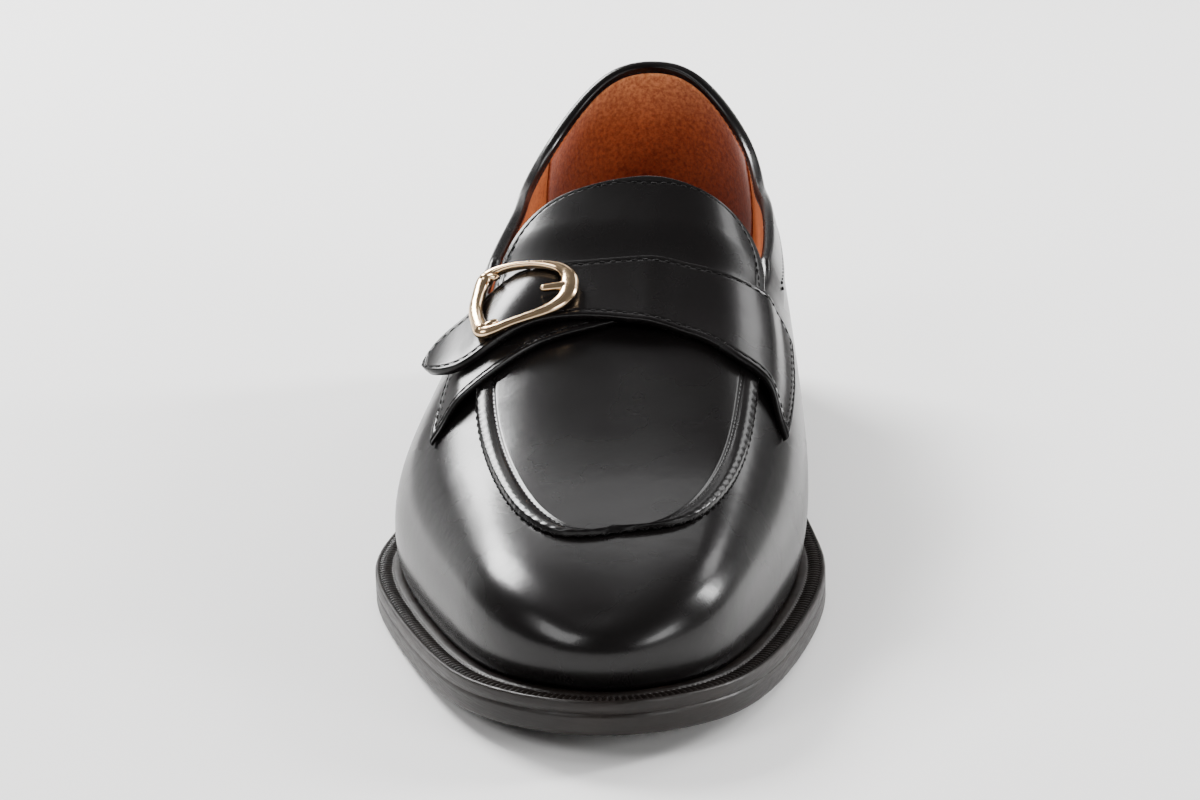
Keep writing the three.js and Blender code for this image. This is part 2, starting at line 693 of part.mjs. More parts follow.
// The plug and the tongue in one piece: rings run in from its outline to its middle line. in is a
// share of RIDGE_WIDTH, rest a share of the way from there to the middle, and ridge a share of RIDGE.
const PLUG_RINGS = table(
  ['in', 'rest', 'ridge'],
  [
    [0, 0, -0.9],
    [0.16, 0, 0.5],
    [0.48, 0, 1],
    [0.78, 0, 0.4],
    [1, 0, -0.5],
    [1.25, 0, 0],
    [1.25, 0.25, 0],
    [1.25, 0.5, 0],
    [1.25, 0.75, 0],
    [1.25, 1, 0],
  ],
);
function plugGeometry() {
  const last = PLUG_OUTLINE.length - 1;
  const PER_ROW = 2;
  const END_FAN = 2.3;
  const MOST_IN = 0.9;
  const alongLoop = loopThrough(column(PLUG_OUTLINE, 'medialAlong'), column(PLUG_OUTLINE, 'lateralAlong'));
  const girthLoop = loopThrough(column(PLUG_OUTLINE, 'medialGirth'), column(PLUG_OUTLINE, 'lateralGirth'));
  const outer = [];
  const inner = [];
  for (let i = 0; i < 2 * last * PER_ROW; i += 1) {
    const t = i / PER_ROW;
    const edge = new THREE.Vector2(alongLoop(t), girthLoop(t));
    const m = THREE.MathUtils.clamp(Math.min(t, 2 * last - t), END_FAN, last - END_FAN);
    const middle = new THREE.Vector2(
      (alongLoop(m) + alongLoop(2 * last - m)) / 2,
      (girthLoop(m) + girthLoop(2 * last - m)) / 2,
    );
    const on = (p, height) => lifted(stationAt(p.x), p.y, height);
    const reach = on(edge, 0).distanceTo(on(middle, 0));
    const outerRow = [];
    const innerRow = [];
    for (const ring of PLUG_RINGS) {
      const near = Math.min((ring.in * RIDGE_WIDTH) / reach, MOST_IN);
      const p = edge.clone().lerp(middle, near + (1 - near) * ring.rest);
      const ridge = RIDGE * ring.ridge * (1 - rise(p.x, RIDGE_END.low, RIDGE_END.high));
      const thick = PLUG + (TONGUE - PLUG) * rise(p.x, TONGUE_START.low, TONGUE_START.high);
      const slack = TONGUE_SLACK * rise(p.x, SLACK_START.low, SLACK_START.high);
      outerRow.push(on(p, CLEAR + thick + ridge));
      innerRow.push(on(p, CLEAR + slack));
    }
    outer.push(outerRow);
    inner.push(innerRow);
  }
  return skin(outer, inner, { closed: true, capped: false, rimFirst: always, rimLast: never });
}

// Heights of the strap's and the wing's undersides above the upper
const OVER_PLUG = CLEAR + PLUG + RIDGE + CLEAR;
const OVER_WING = OVER_PLUG + WING + CLEAR;
function strapLift(girth) {
  const onPlug = rise(girth, STRAP_ON_PLUG.low, STRAP_ON_PLUG.high);
  const onWing = rise(girth, STRAP_ON_WING.low, STRAP_ON_WING.high);
  const tip = rise(girth, STRAP_TIP.low, STRAP_TIP.high);
  return CLEAR + (OVER_PLUG - CLEAR) * onPlug + (OVER_WING - OVER_PLUG) * onWing + TIP_LIFT * tip;
}
function wingLift(girth) {
  return OVER_PLUG + (CLEAR - OVER_PLUG) * rise(girth, WING_ON_PLUG.low, WING_ON_PLUG.high);
}

// A flat band between a front and a back edge drawn on the upper
function bandGeometry(edges, lift, thickness) {
  const PER_ROW = 3;
  const ACROSS = 5;
  const last = edges.length - 1;
  const spline = (name) => splineThrough(column(edges, name), 'odd', 'odd');
  const front = { along: spline('frontAlong'), girth: spline('frontGirth') };
  const back = { along: spline('backAlong'), girth: spline('backGirth') };
  const grid = (height) =>
    steps(0, last, last * PER_ROW).map((t) => {
      const from = new THREE.Vector2(front.along(t), front.girth(t));
      const to = new THREE.Vector2(back.along(t), back.girth(t));
      return steps(0, 1, ACROSS).map((share) => {
        const p = from.clone().lerp(to, share);
        return lifted(stationAt(p.x), p.y, lift(p.y) + height);
      });
    });
  return skin(grid(thickness), grid(0), { closed: false, capped: true, rimFirst: always, rimLast: always });
}

// The buckle: a ring that follows the strap, knuckles at the ends of its bar and a stub prong
const wasm = await Module();
wasm.setup();
function toManifold(geometry) {
  return new wasm.Manifold(
    new wasm.Mesh({
      numProp: 3,
      vertProperties: new Float32Array(geometry.getAttribute('position').array),
      triVerts: new Uint32Array(geometry.getIndex().array),
    }),
  );
}
function fromManifold(solid) {
  const mesh = solid.getMesh();
  const corner = (i) => new THREE.Vector3().fromArray(mesh.vertProperties, mesh.triVerts[i] * 3);
  const triangles = [];
  for (let i = 0; i < mesh.triVerts.length; i += 3) {
    triangles.push([corner(i), corner(i + 1), corner(i + 2)]);
  }
  return toGeometry(triangles);
}
function plainGeometry(geometry) {
  geometry.deleteAttribute('normal');
  geometry.deleteAttribute('uv');
  return mergeVertices(geometry);
}
function buckleGeometry() {
  const SAMPLES = 48;
  const SIDES = 8;
  const KNUCKLE_SIDES = 10;
  const KNUCKLE_RINGS = 6;
  const middle = {
    along: (BUCKLE_ROUND_END.along + BUCKLE_BAR.along) / 2,
    girth: (BUCKLE_ROUND_END.girth + BUCKLE_BAR.girth) / 2,
  };
  const under = (end) => surfacePoint(stationAt(end.along), end.girth);
  const reach = under(BUCKLE_ROUND_END).distanceTo(under(BUCKLE_BAR));
  const perLength = (BUCKLE_BAR.girth - BUCKLE_ROUND_END.girth) / reach;
  const height = OVER_WING + STRAP + CLEAR + BUCKLE_WIRE / 2;
  const spot = (out, side) => {
    const slope = (BUCKLE_BAR.along - BUCKLE_ROUND_END.along) * out;
    const station = stationAt(middle.along + slope + (side * BUCKLE_WIDTH) / LENGTH);
    const girth = middle.girth + out * BUCKLE_LENGTH * perLength;
    return { point: lifted(station, girth, height), up: surfaceNormal(station, girth) };
  };
  const half = RING.map((row) => spot(row.out, row.side));
  const other = RING.slice(1, -1).reverse().map((row) => spot(row.out, -row.side));
  const points = [...half, ...other].map((place) => place.point);
  const curve = new THREE.CatmullRomCurve3(points, true, 'centripetal');
  const up = spot(0, 0).up;
  const rows = [];
  for (let i = 0; i < SAMPLES; i += 1) {
    const centre = curve.getPointAt(i / SAMPLES);
    const ahead = curve.getTangentAt(i / SAMPLES);
    const aside = ahead.clone().cross(up).normalize();
    const above = aside.clone().cross(ahead).normalize();
    rows.push(
      steps(0, 2 * Math.PI, SIDES).slice(0, -1).map((angle) =>
        centre
          .clone()
          .addScaledVector(aside, (Math.cos(angle) * BUCKLE_WIRE) / 2)
          .addScaledVector(above, (Math.sin(angle) * BUCKLE_WIRE) / 2),
      ),
    );
  }
  const triangles = [];
  rows.forEach((row, i) => {
    const next = rows[(i + 1) % SAMPLES];
    row.forEach((a, j) => {
      const k = (j + 1) % SIDES;
      triangles.push([a, next[j], next[k]], [a, next[k], row[k]]);
    });
  });
  let solid = toManifold(toGeometry(triangles));
  const KNUCKLE = 0.62;
  const corner = RING.find((row) => row.name === 'bar corner');
  for (const side of [-1, 1]) {
    const ball = new THREE.SphereGeometry(KNUCKLE * BUCKLE_WIRE, KNUCKLE_SIDES, KNUCKLE_RINGS);
    const knuckle = plainGeometry(ball);
    const { point } = spot(corner.out, side * corner.side);
    knuckle.translate(point.x, point.y, point.z);
    solid = solid.add(toManifold(knuckle));
  }
  const TIP_RADIUS = 0.3 * BUCKLE_WIRE;
  const ROOT_RADIUS = 0.4 * BUCKLE_WIRE;
  const prong = plainGeometry(new THREE.CylinderGeometry(TIP_RADIUS, ROOT_RADIUS, PRONG_LENGTH, SIDES));
  const roundEnd = RING[RING.length - 1];
  const root = spot(roundEnd.out, roundEnd.side);
  const inward = spot(RING[0].out, RING[0].side).point.sub(root.point).normalize();
  const PRONG_TILT = 0.45;
  inward.addScaledVector(root.up, PRONG_TILT).normalize();
  prong.translate(0, PRONG_LENGTH / 2, 0);
  prong.applyQuaternion(new THREE.Quaternion().setFromUnitVectors(new THREE.Vector3(0, 1, 0), inward));
  prong.translate(root.point.x, root.point.y, root.point.z);
  return fromManifold(solid.add(toManifold(prong)));
}

// The pieces with their colours, then the whole set on its middle with the floor at zero
function finish(color, roughness, metalness) {
  return new THREE.MeshStandardMaterial({ color, roughness, metalness });
}
const insoleMargin = () => -(TUCK + WALL + INSOLE_INSET);
const insoleGeometry = plate(insoleMargin, OUTSOLE + CLEAR, FEATHER + INSOLE_RISE, EDGE_BEVEL);
const pieces = [
  ['outsole', plate(soleMargin, 0, OUTSOLE, EDGE_BEVEL), finish('#241c19', 0.5, 0)],
  ['welt', weltGeometry(), finish('#1a1513', 0.5, 0)],
  ['heel_stack', heelStackGeometry(), finish('#241c19', 0.5, 0)],
  ['heel_top_piece', topPieceGeometry(), finish('#151312', 0.8, 0)],
  ['insole', insoleGeometry, finish('#b5602c', 0.7, 0)],
  ['upper', upperGeometry(), finish('#1c1917', 0.25, 0)],
  ['plug_and_tongue', plugGeometry(), finish('#1c1917', 0.25, 0)],
  ['strap_wing', bandGeometry(WING_EDGES, wingLift, WING), finish('#1c1917', 0.25, 0)],
  ['strap', bandGeometry(STRAP_EDGES, strapLift, STRAP), finish('#1c1917', 0.25, 0)],
  ['buckle', buckleGeometry(), finish('#e0c28c', 0.2, 1)],
];
const shoe = new THREE.Group();
for (const [name, geometry, material] of pieces) {
  const piece = new THREE.Mesh(geometry, material);
  piece.name = name;
  shoe.add(piece);
}
const middle = new THREE.Box3().setFromObject(shoe).getCenter(new THREE.Vector3());
shoe.position.set(-middle.x, -middle.y, 0);
shoe.updateMatrixWorld(true);

export default shoe;
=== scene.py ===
import math

import bmesh
import bpy
import numpy as np
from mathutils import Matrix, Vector


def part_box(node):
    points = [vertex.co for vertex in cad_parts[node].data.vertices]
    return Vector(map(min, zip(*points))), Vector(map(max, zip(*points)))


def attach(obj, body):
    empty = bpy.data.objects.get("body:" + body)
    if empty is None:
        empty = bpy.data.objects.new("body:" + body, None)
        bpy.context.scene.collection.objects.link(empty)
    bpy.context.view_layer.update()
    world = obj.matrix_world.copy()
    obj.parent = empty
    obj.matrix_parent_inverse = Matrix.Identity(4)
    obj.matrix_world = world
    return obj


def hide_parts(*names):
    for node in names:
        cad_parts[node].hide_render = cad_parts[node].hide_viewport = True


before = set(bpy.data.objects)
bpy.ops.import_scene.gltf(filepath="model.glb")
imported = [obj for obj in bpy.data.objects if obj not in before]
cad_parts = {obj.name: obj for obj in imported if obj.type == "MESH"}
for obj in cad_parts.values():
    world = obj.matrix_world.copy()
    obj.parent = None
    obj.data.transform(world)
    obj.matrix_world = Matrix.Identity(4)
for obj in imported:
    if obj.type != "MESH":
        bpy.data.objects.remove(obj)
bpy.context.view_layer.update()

# Outsole
# One piece of bark-tanned sole leather from toe to heel, cut a little wider than the last, dyed
# brown-black and burnished at its edge. It is cemented under the welt and rises at toe and arch.
LENGTH = 268.0
BALL_WIDTH = 92.0
TOE_SPRING = 5.5
HEEL_PITCH = 19.0
OUTSOLE = 4.4
WELT_EDGE = 4.6
JOINT = 0.29
TREAD_FRONT = 0.3
TREAD_BACK = 0.373
ARCH_END = 0.762


def table(columns, rows):
    """A dict of named columns from rows of numbers."""
    return {name: np.array([row[i] for row in rows], float) for i, name in enumerate(columns)}


# Sections of the foot line, from the toe tip to the heel back: along is a share of LENGTH, swing and
# the half widths are shares of BALL_WIDTH, and edge is how far the sole stands out of WELT_EDGE.
FOOT = table(
    ("along", "swing", "medial", "lateral", "edge"),
    [
        (0.0, 0.109, 0.0, 0.0, 1.0),
        (0.012, 0.105, 0.118, 0.118, 1.0),
        (0.052, 0.096, 0.248, 0.248, 1.0),
        (0.125, 0.078, 0.35, 0.352, 1.0),
        (0.225, 0.051, 0.438, 0.448, 1.0),
        (0.33, 0.022, 0.49, 0.5, 1.0),
        (0.44, 0.005, 0.455, 0.45, 0.85),
        (0.56, 0.011, 0.385, 0.398, 0.55),
        (0.69, 0.016, 0.35, 0.35, 0.45),
        (0.81, 0.022, 0.335, 0.335, 0.45),
        (0.915, 0.022, 0.292, 0.292, 0.45),
        (0.978, 0.022, 0.17, 0.17, 0.45),
        (1.0, 0.022, 0.0, 0.0, 0.45),
    ],
)
HEEL = len(FOOT["along"]) - 1
ROUND = 2 * HEEL


def spline_through(values, start, end=None):
    """A smooth function of the row number. A loop closes, an even end is flat, an odd end runs on."""
    values = np.asarray(values, float)
    count = len(values)
    system = 4 * np.eye(count)
    for i in range(count):
        for j in (i - 1, i + 1):
            if start == "loop":
                system[i, j % count] += 1
            elif 0 <= j < count:
                system[i, j] += 1
            else:
                kind, inner = (start, 1) if j < 0 else (end, count - 2)
                system[i, inner] += 1 if kind == "even" else -1
                system[i, i] += 0 if kind == "even" else 2
    controls = np.linalg.solve(system, 6 * values)
    if start == "loop":
        padded = np.concatenate([controls[-1:], controls, controls[:2]])
    else:
        first = controls[1] if start == "even" else 2 * controls[0] - controls[1]
        last = controls[-2] if end == "even" else 2 * controls[-1] - controls[-2]
        padded = np.concatenate([[first], controls, [last]])

    def at(place):
        place = np.asarray(place, float)
        if start == "loop":
            place = np.mod(place, count)
        i = np.clip(np.floor(place).astype(int), 0, len(padded) - 4)
        f = place - i
        a, b, c, d = (padded[i + k] for k in range(4))
        middle = (3 * f**3 - 6 * f**2 + 4) * b + (-3 * f**3 + 3 * f**2 + 3 * f + 1) * c
        return ((1 - f) ** 3 * a + middle + f**3 * d) / 6

    return at


def round_foot(medial, lateral):
    """A loop down the medial column and back up the lateral one."""
    return spline_through(np.concatenate([medial, lateral[-2:0:-1]]), "loop")


foot_along = round_foot(FOOT["along"], FOOT["along"])
foot_across = round_foot(FOOT["swing"] + FOOT["medial"], FOOT["swing"] - FOOT["lateral"])
foot_edge = round_foot(FOOT["edge"], FOOT["edge"])


def rise(value, low, high):
    """Smooth rise from 0 at low to 1 at high."""
    t = np.clip((np.asarray(value, float) - low) / (high - low), 0, 1)
    return t * t * (3 - 2 * t)


def ground(y):
    """Height of the sole's underside above the floor."""
    along = np.asarray(y) / LENGTH
    toe = np.clip((TREAD_FRONT - along) / TREAD_FRONT, 0, None)
    return TOE_SPRING * toe**2 + HEEL_PITCH * rise(along, TREAD_BACK, ARCH_END)


def outline(place, margin):
    """Points of the foot's plan moved out by a margin."""
    step = 1e-3
    along = (foot_along(place + step) - foot_along(place - step)) * LENGTH
    across = (foot_across(place + step) - foot_across(place - step)) * BALL_WIDTH
    run = np.hypot(along, across)
    x = foot_across(place) * BALL_WIDTH + along / run * margin
    y = foot_along(place) * LENGTH - across / run * margin
    return np.stack([x, y], -1)


def sole_margin(place):
    return foot_edge(place) * WELT_EDGE


# The shoe's own millimetres sit in the frame where its outsole lies
plan_places = np.linspace(0, ROUND, 4000)
plan = outline(plan_places, sole_margin(plan_places))
sole_low, sole_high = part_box("outsole")
SHIFT = np.array(
    [
        (sole_low.x + sole_high.x) * 500 - (plan[:, 0].min() + plan[:, 0].max()) / 2,
        (sole_low.y + sole_high.y) * 500 - (plan[:, 1].min() + plan[:, 1].max()) / 2,
        0,
    ]
)


def to_frame(points):
    """Metres of the frame from the shoe's own millimetres."""
    return (np.asarray(points, float) + SHIFT) / 1000


def linear(colour):
    """Linear RGBA from an sRGB hex colour."""
    parts = [int(colour[i : i + 2], 16) / 255 for i in (1, 3, 5)]
    return (*(c / 12.92 if c <= 0.04045 else ((c + 0.055) / 1.055) ** 2.4 for c in parts), 1)


def add(material, kind, settings=None, **links):
    """Adds a node with its settings, and links or sets its inputs by name."""
    tree = material.node_tree
    node = tree.nodes.new(kind)
    for name, value in (settings or {}).items():
        setattr(node, name, value)
    for name, value in links.items():
        numbered = name[0] == "i" and name[1:].isdigit()
        socket = node.inputs[int(name[1:]) if numbered else name.replace("_", " ")]
        if isinstance(value, bpy.types.NodeSocket):
            tree.links.new(value, socket)
        else:
            socket.default_value = value
    return node


def new_finish(name, **surface):
    """A material with its surface shader's own sockets set."""
    material = bpy.data.materials.new(name)
    material.use_nodes = True
    shader = material.node_tree.nodes["Principled BSDF"]
    for socket, value in surface.items():
        shader.inputs[socket.replace("_", " ")].default_value = value
    return material, shader


def ramp(material, factor, stops):
    """A colour ramp with stops of place and colour."""
    node = add(material, "ShaderNodeValToRGB", Fac=factor)
    elements = node.color_ramp.elements
    while len(elements) < len(stops):
        elements.new(0.5)
    for element, (place, colour) in zip(elements, stops):
        element.position = place
        element.color = linear(colour)
    return node.outputs["Color"]


def burnished_sole_leather(name, light, dark, streak):
    """Dyed and waxed sole leather: fine streaks along the trimmed edge, a low waxy gloss."""
    material, shader = new_finish(name, Roughness=0.42, Specular_IOR_Level=0.3)
    place = add(material, "ShaderNodeTexCoord").outputs["Object"]
    stretched = add(material, "ShaderNodeMapping", Vector=place, Scale=(1, 1, streak)).outputs["Vector"]
    cloud = add(material, "ShaderNodeTexNoise", Vector=place, Scale=90.0, Detail=5.0).outputs["Fac"]
    streaks = add(material, "ShaderNodeTexNoise", Vector=stretched, Scale=220.0, Detail=4.0).outputs["Fac"]
    colour = ramp(material, cloud, [(0.3, dark), (0.75, light)])
    material.node_tree.links.new(colour, shader.inputs["Base Color"])
    gloss = add(
        material, "ShaderNodeMapRange", i0=streaks, i1=0.3, i2=0.7, i3=0.34, i4=0.5
    ).outputs["Result"]
    material.node_tree.links.new(gloss, shader.inputs["Roughness"])
    bump = add(material, "ShaderNodeBump", Height=streaks, Strength=0.35, Distance=0.0002)
    material.node_tree.links.new(bump.outputs["Normal"], shader.inputs["Normal"])
    return material


def grid_faces(rows, columns, close_rows, close_columns):
    i = np.arange(rows if close_rows else rows - 1)[:, None]
    j = np.arange(columns if close_columns else columns - 1)[None, :]
    next_i = (i + 1) % rows
    next_j = (j + 1) % columns
    corners = [i * columns + j, next_i * columns + j, next_i * columns + next_j, i * columns + next_j]
    return np.stack([np.broadcast_to(c, (i.size, j.size)) for c in corners], -1).reshape(-1, 4)


def make_piece(name, material, grids, replaced=()):
    """One welded, smooth mesh from grids of points in millimetres: (points, rows close, columns close)."""
    verts = []
    faces = []
    base = 0
    for points, close_rows, close_columns in grids:
        rows, columns = points.shape[:2]
        verts.append(to_frame(points.reshape(-1, 3)))
        faces.append(grid_faces(rows, columns, close_rows, close_columns) + base)
        base += rows * columns
    mesh = bpy.data.meshes.new(name)
    mesh.from_pydata(np.concatenate(verts).tolist(), [], np.concatenate(faces).tolist())
    welded = bmesh.new()
    welded.from_mesh(mesh)
    bmesh.ops.remove_doubles(welded, verts=welded.verts, dist=3e-6)
    bmesh.ops.recalc_face_normals(welded, faces=welded.faces)
    welded.to_mesh(mesh)
    welded.free()
    mesh.polygons.foreach_set("use_smooth", [True] * len(mesh.polygons))
    piece = bpy.data.objects.new(name, mesh)
    bpy.context.scene.collection.objects.link(piece)
    mesh.materials.append(material)
    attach(piece, "root")
    if replaced:
        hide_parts(*replaced)
    return piece


def edge_points(places, margin, inset, height):
    """Points along the sole's edge, set in from it, at a height above the sole's underside."""
    plan = outline(places, margin(places) - inset)
    return np.concatenate([plan, (ground(plan[:, 1]) + height)[:, None]], 1)


def slab(stations, margin, profile, across):
    """Closed cross-sections of a flat piece: profile goes up one edge as (inset, height)."""
    medial = [edge_points(stations, margin, inset, height) for inset, height in profile]
    lateral = [edge_points(ROUND - stations, margin, inset, height) for inset, height in profile]

    def between(a, b, height):
        inner = []
        for share in np.linspace(0, 1, across + 1)[1:-1]:
            p = a + (b - a) * share
            p[:, 2] = ground(p[:, 1]) + height
            inner.append(p)
        return inner

    top = between(medial[-1], lateral[-1], profile[-1][1])
    bottom = between(lateral[0], medial[0], profile[0][1])
    return np.stack(medial + top + lateral[::-1] + bottom, axis=1)


def close_ends(count):
    """Stations from toe tip to heel back, close together at both ends."""
    t = np.linspace(0, 1, count)
    return HEEL * (t - 0.85 * np.sin(2 * math.pi * t) / (2 * math.pi))


# Up the outsole's edge: inset, and height above its underside
OUTSOLE_EDGE = [(1.1, 0.0), (0.55, 0.1), (0.18, 0.4), (0.0, 0.95), (0.0, 2.2), (0.0, 3.6)]
OUTSOLE_EDGE.append((0.0, OUTSOLE + JOINT))
OUTSOLE_ROWS = 420
OUTSOLE_ACROSS = 8
sole_leather = burnished_sole_leather("burnished_sole_leather", "#1f1916", "#110d0b", 14)
outsole_rows = slab(close_ends(OUTSOLE_ROWS), sole_margin, OUTSOLE_EDGE, OUTSOLE_ACROSS)
make_piece("outsole_leather", sole_leather, [(outsole_rows, False, True)], ["outsole"])

# Welt
# A narrow strip of leather round the whole edge, sewn to the upper and cemented on the outsole. Its
# top is wheeled with fine cross ribs between a plain outer rim and the upper.
WELT = 2.7
CLEAR = 0.3
RIB_PITCH = 1.45
RIB_DEPTH = 0.65
SAMPLES_A_RIB = 7
WELT_TOP = OUTSOLE + CLEAR + WELT

# Up the welt's edge and over its top to under the upper: inset as a share of the margin, height
# against the welt's top in millimetres, and how much of the rib shows there.
WELT_SECTION = table(
    ("inset", "height", "rib"),
    [
        (0.0, -2.7, 0.0),
        (0.0, -1.6, 0.0),
        (0.0, -0.55, 0.0),
        (0.03, -0.2, 0.0),
        (0.08, -0.02, 0.0),
        (0.15, 0.0, 0.0),
        (0.2, -0.06, 0.0),
        (0.24, -0.02, 1.0),
        (0.36, 0.16, 1.0),
        (0.52, 0.22, 1.0),
        (0.68, 0.16, 1.0),
        (0.8, -0.02, 1.0),
        (0.85, -0.12, 0.0),
        (0.9, 0.14, 0.0),
        (0.96, 0.27, 0.0),
        (1.15, 0.27, 0.0),
        (1.6, 0.27, 0.0),
        (1.6, -2.7, 0.0),
    ],
)


def even_places(spacing, margin):
    """Places round the foot at an even distance from each other along the sole's edge."""
    fine = np.linspace(0, ROUND, 12000)
    plan = outline(fine, margin(fine))
    length = np.concatenate([[0], np.cumsum(np.hypot(*np.diff(plan, axis=0).T))])
    count = round(length[-1] / spacing)
    return np.interp(np.arange(count) / count * length[-1], length, fine)


rib_count = round(len(even_places(RIB_PITCH, sole_margin)))
welt_places = even_places(RIB_PITCH / SAMPLES_A_RIB, sole_margin)
rib_phase = np.arange(len(welt_places)) / len(welt_places) * rib_count
rib_gap = 1 - np.abs(np.cos(math.pi * rib_phase)) ** 0.8
welt_columns = []
for inset, height, rib in zip(WELT_SECTION["inset"], WELT_SECTION["height"], WELT_SECTION["rib"]):
    column = edge_points(welt_places, sole_margin, inset * sole_margin(welt_places), WELT_TOP + height)
    column[:, 2] -= rib * RIB_DEPTH * rib_gap
    welt_columns.append(column)
welt_leather = burnished_sole_leather("wheeled_welt_leather", "#1f1916", "#110d0b", 14)
welt_rows = np.stack(welt_columns, axis=1)
make_piece("welt_ribbed", welt_leather, [(welt_rows, True, True)], ["welt"])

# Heel
# Three lifts of sole leather pegged and cemented under the heel seat, trimmed together with a slight
# taper and a hollow breast, with a rubber lift that meets the floor.
TOP_PIECE = 6.0
HEEL_TAPER = 1.6
HEEL_BREAST = 0.775
BREAST_HOLLOW = 2.0
LIFTS = 3
LIFT_GROOVE = 0.22
HEEL_ROWS = 90
HEEL_ACROSS = 16

fine_stations = np.linspace(0, HEEL, 6000)
fine_along = foot_along(fine_stations)


def station_at(along):
    """Station of a place along the shoe."""
    return np.interp(along, fine_along, fine_stations)


def heel_block(profile, count, across):
    """A heel piece: its section rows behind the breast, and the breast wall. profile: inset, height."""
    start = float(station_at(HEEL_BREAST))
    t = np.linspace(0, 1, count)
    stations = start + (HEEL - start) * np.sin(t * math.pi / 2)

    def side(places, inset, z):
        plan = outline(places, sole_margin(places) - inset)
        return np.concatenate([plan, np.full((count, 1), z)], 1)

    medial = [side(stations, inset, z) for inset, z in profile]
    lateral = [side(ROUND - stations, inset, z) for inset, z in profile]
    shares = np.linspace(0, 1, across + 1)

    def line(a, b):
        points = a[None] + (b - a)[None] * shares[:, None, None]
        points[:, :, 1] += (BREAST_HOLLOW * 4 * shares * (1 - shares))[:, None] * (1 - t) ** 3
        return list(points)

    top = line(medial[-1], lateral[-1])[1:-1]
    bottom = line(lateral[0], medial[0])[1:-1]
    ring = np.stack(medial + top + lateral[::-1] + bottom, axis=1)
    breast = np.stack([np.stack(line(a, b))[:, 0] for a, b in zip(medial, lateral)])
    return [(ring, False, True), (breast, False, False)]


def taper(z):
    return HEEL_TAPER * (HEEL_PITCH - z) / HEEL_PITCH


stack_low = TOP_PIECE + 0.05
stack_high = HEEL_PITCH - 0.05
lift_profile = [(taper(stack_low) + 0.2, stack_low), (taper(stack_low), stack_low + 0.2)]
for lift in range(1, LIFTS):
    joint = stack_low + (stack_high - stack_low) * lift / LIFTS
    lift_profile.append((taper(joint), joint - LIFT_GROOVE))
    lift_profile.append((taper(joint) + LIFT_GROOVE, joint))
    lift_profile.append((taper(joint), joint + LIFT_GROOVE))
lift_profile.append((taper(stack_high), stack_high - 0.2))
lift_profile.append((taper(stack_high) + 0.2, stack_high))
heel_leather = burnished_sole_leather("stacked_heel_leather", "#33271f", "#171110", 30)
lift_grids = heel_block(lift_profile, HEEL_ROWS, HEEL_ACROSS)
make_piece("heel_lifts", heel_leather, lift_grids, ["heel_stack"])

rubber_profile = [(HEEL_TAPER + 0.9, 0.0), (HEEL_TAPER + 0.4, 0.12), (HEEL_TAPER + 0.12, 0.5)]
rubber_profile += [(HEEL_TAPER, 1.2), (HEEL_TAPER - 0.2, 3.5), (taper(TOP_PIECE), TOP_PIECE - 0.25)]
rubber_profile.append((taper(TOP_PIECE) + 0.2, TOP_PIECE - 0.02))


def moulded_heel_rubber():
    """Moulded black rubber: matt, with a fine sand texture from its mould."""
    material, shader = new_finish("moulded_heel_rubber", Roughness=0.7, Base_Color=linear("#171514"))
    place = add(material, "ShaderNodeTexCoord").outputs["Object"]
    sand = add(material, "ShaderNodeTexNoise", Vector=place, Scale=1500.0, Detail=2.0).outputs["Fac"]
    bump = add(material, "ShaderNodeBump", Height=sand, Strength=0.3, Distance=0.0001)
    material.node_tree.links.new(bump.outputs["Normal"], shader.inputs["Normal"])
    return material


heel_rubber = moulded_heel_rubber()
rubber_grids = heel_block(rubber_profile, HEEL_ROWS, HEEL_ACROSS)
make_piece("heel_rubber_lift", heel_rubber, rubber_grids, ["heel_top_piece"])

# Insole
# The footbed with its full-length sock of smooth orange-brown lining leather, glued down inside the
# upper. It follows the sole's rise and is a little dished under the heel.
INSOLE_RISE = 2.2
INSOLE_INSET = 1.1
TUCK = 1.5
WALL = 2.0
SOCK_DISH = 0.8
DISH_RISE = (0.72, 0.88)
DISH_HALF_WIDTH = 26
HEEL_SWING = 0.022
SOCK_ROWS = 220
SOCK_ACROSS = 24


def aniline_lining_leather(name, bright, deep, specks):
    """Calf lining: orange-brown, matt and fine-pored, darker where the hide is denser."""
    material, shader = new_finish(name, Roughness=0.62, Specular_IOR_Level=0.35)
    place = add(material, "ShaderNodeTexCoord").outputs["Object"]
    cloud = add(material, "ShaderNodeTexNoise", Vector=place, Scale=70.0, Detail=6.0).outputs["Fac"]
    pores = add(material, "ShaderNodeTexNoise", Vector=place, Scale=1300.0, Detail=3.0).outputs["Fac"]
    base = ramp(material, cloud, [(0.25, deep), (0.7, bright)])
    freckle = ramp(material, pores, [(0.34, "#7a3a1c"), (0.5, "#ffffff")])
    multiply = {"data_type": "RGBA", "blend_type": "MULTIPLY"}
    mixed = add(material, "ShaderNodeMix", multiply, i0=specks, i6=base, i7=freckle)
    material.node_tree.links.new(mixed.outputs[2], shader.inputs["Base Color"])
    bump = add(material, "ShaderNodeBump", Height=pores, Strength=0.35, Distance=0.00015)
    material.node_tree.links.new(bump.outputs["Normal"], shader.inputs["Normal"])
    return material


def insole_margin(places):
    return np.full(np.shape(places), -(TUCK + WALL + INSOLE_INSET - 0.7))


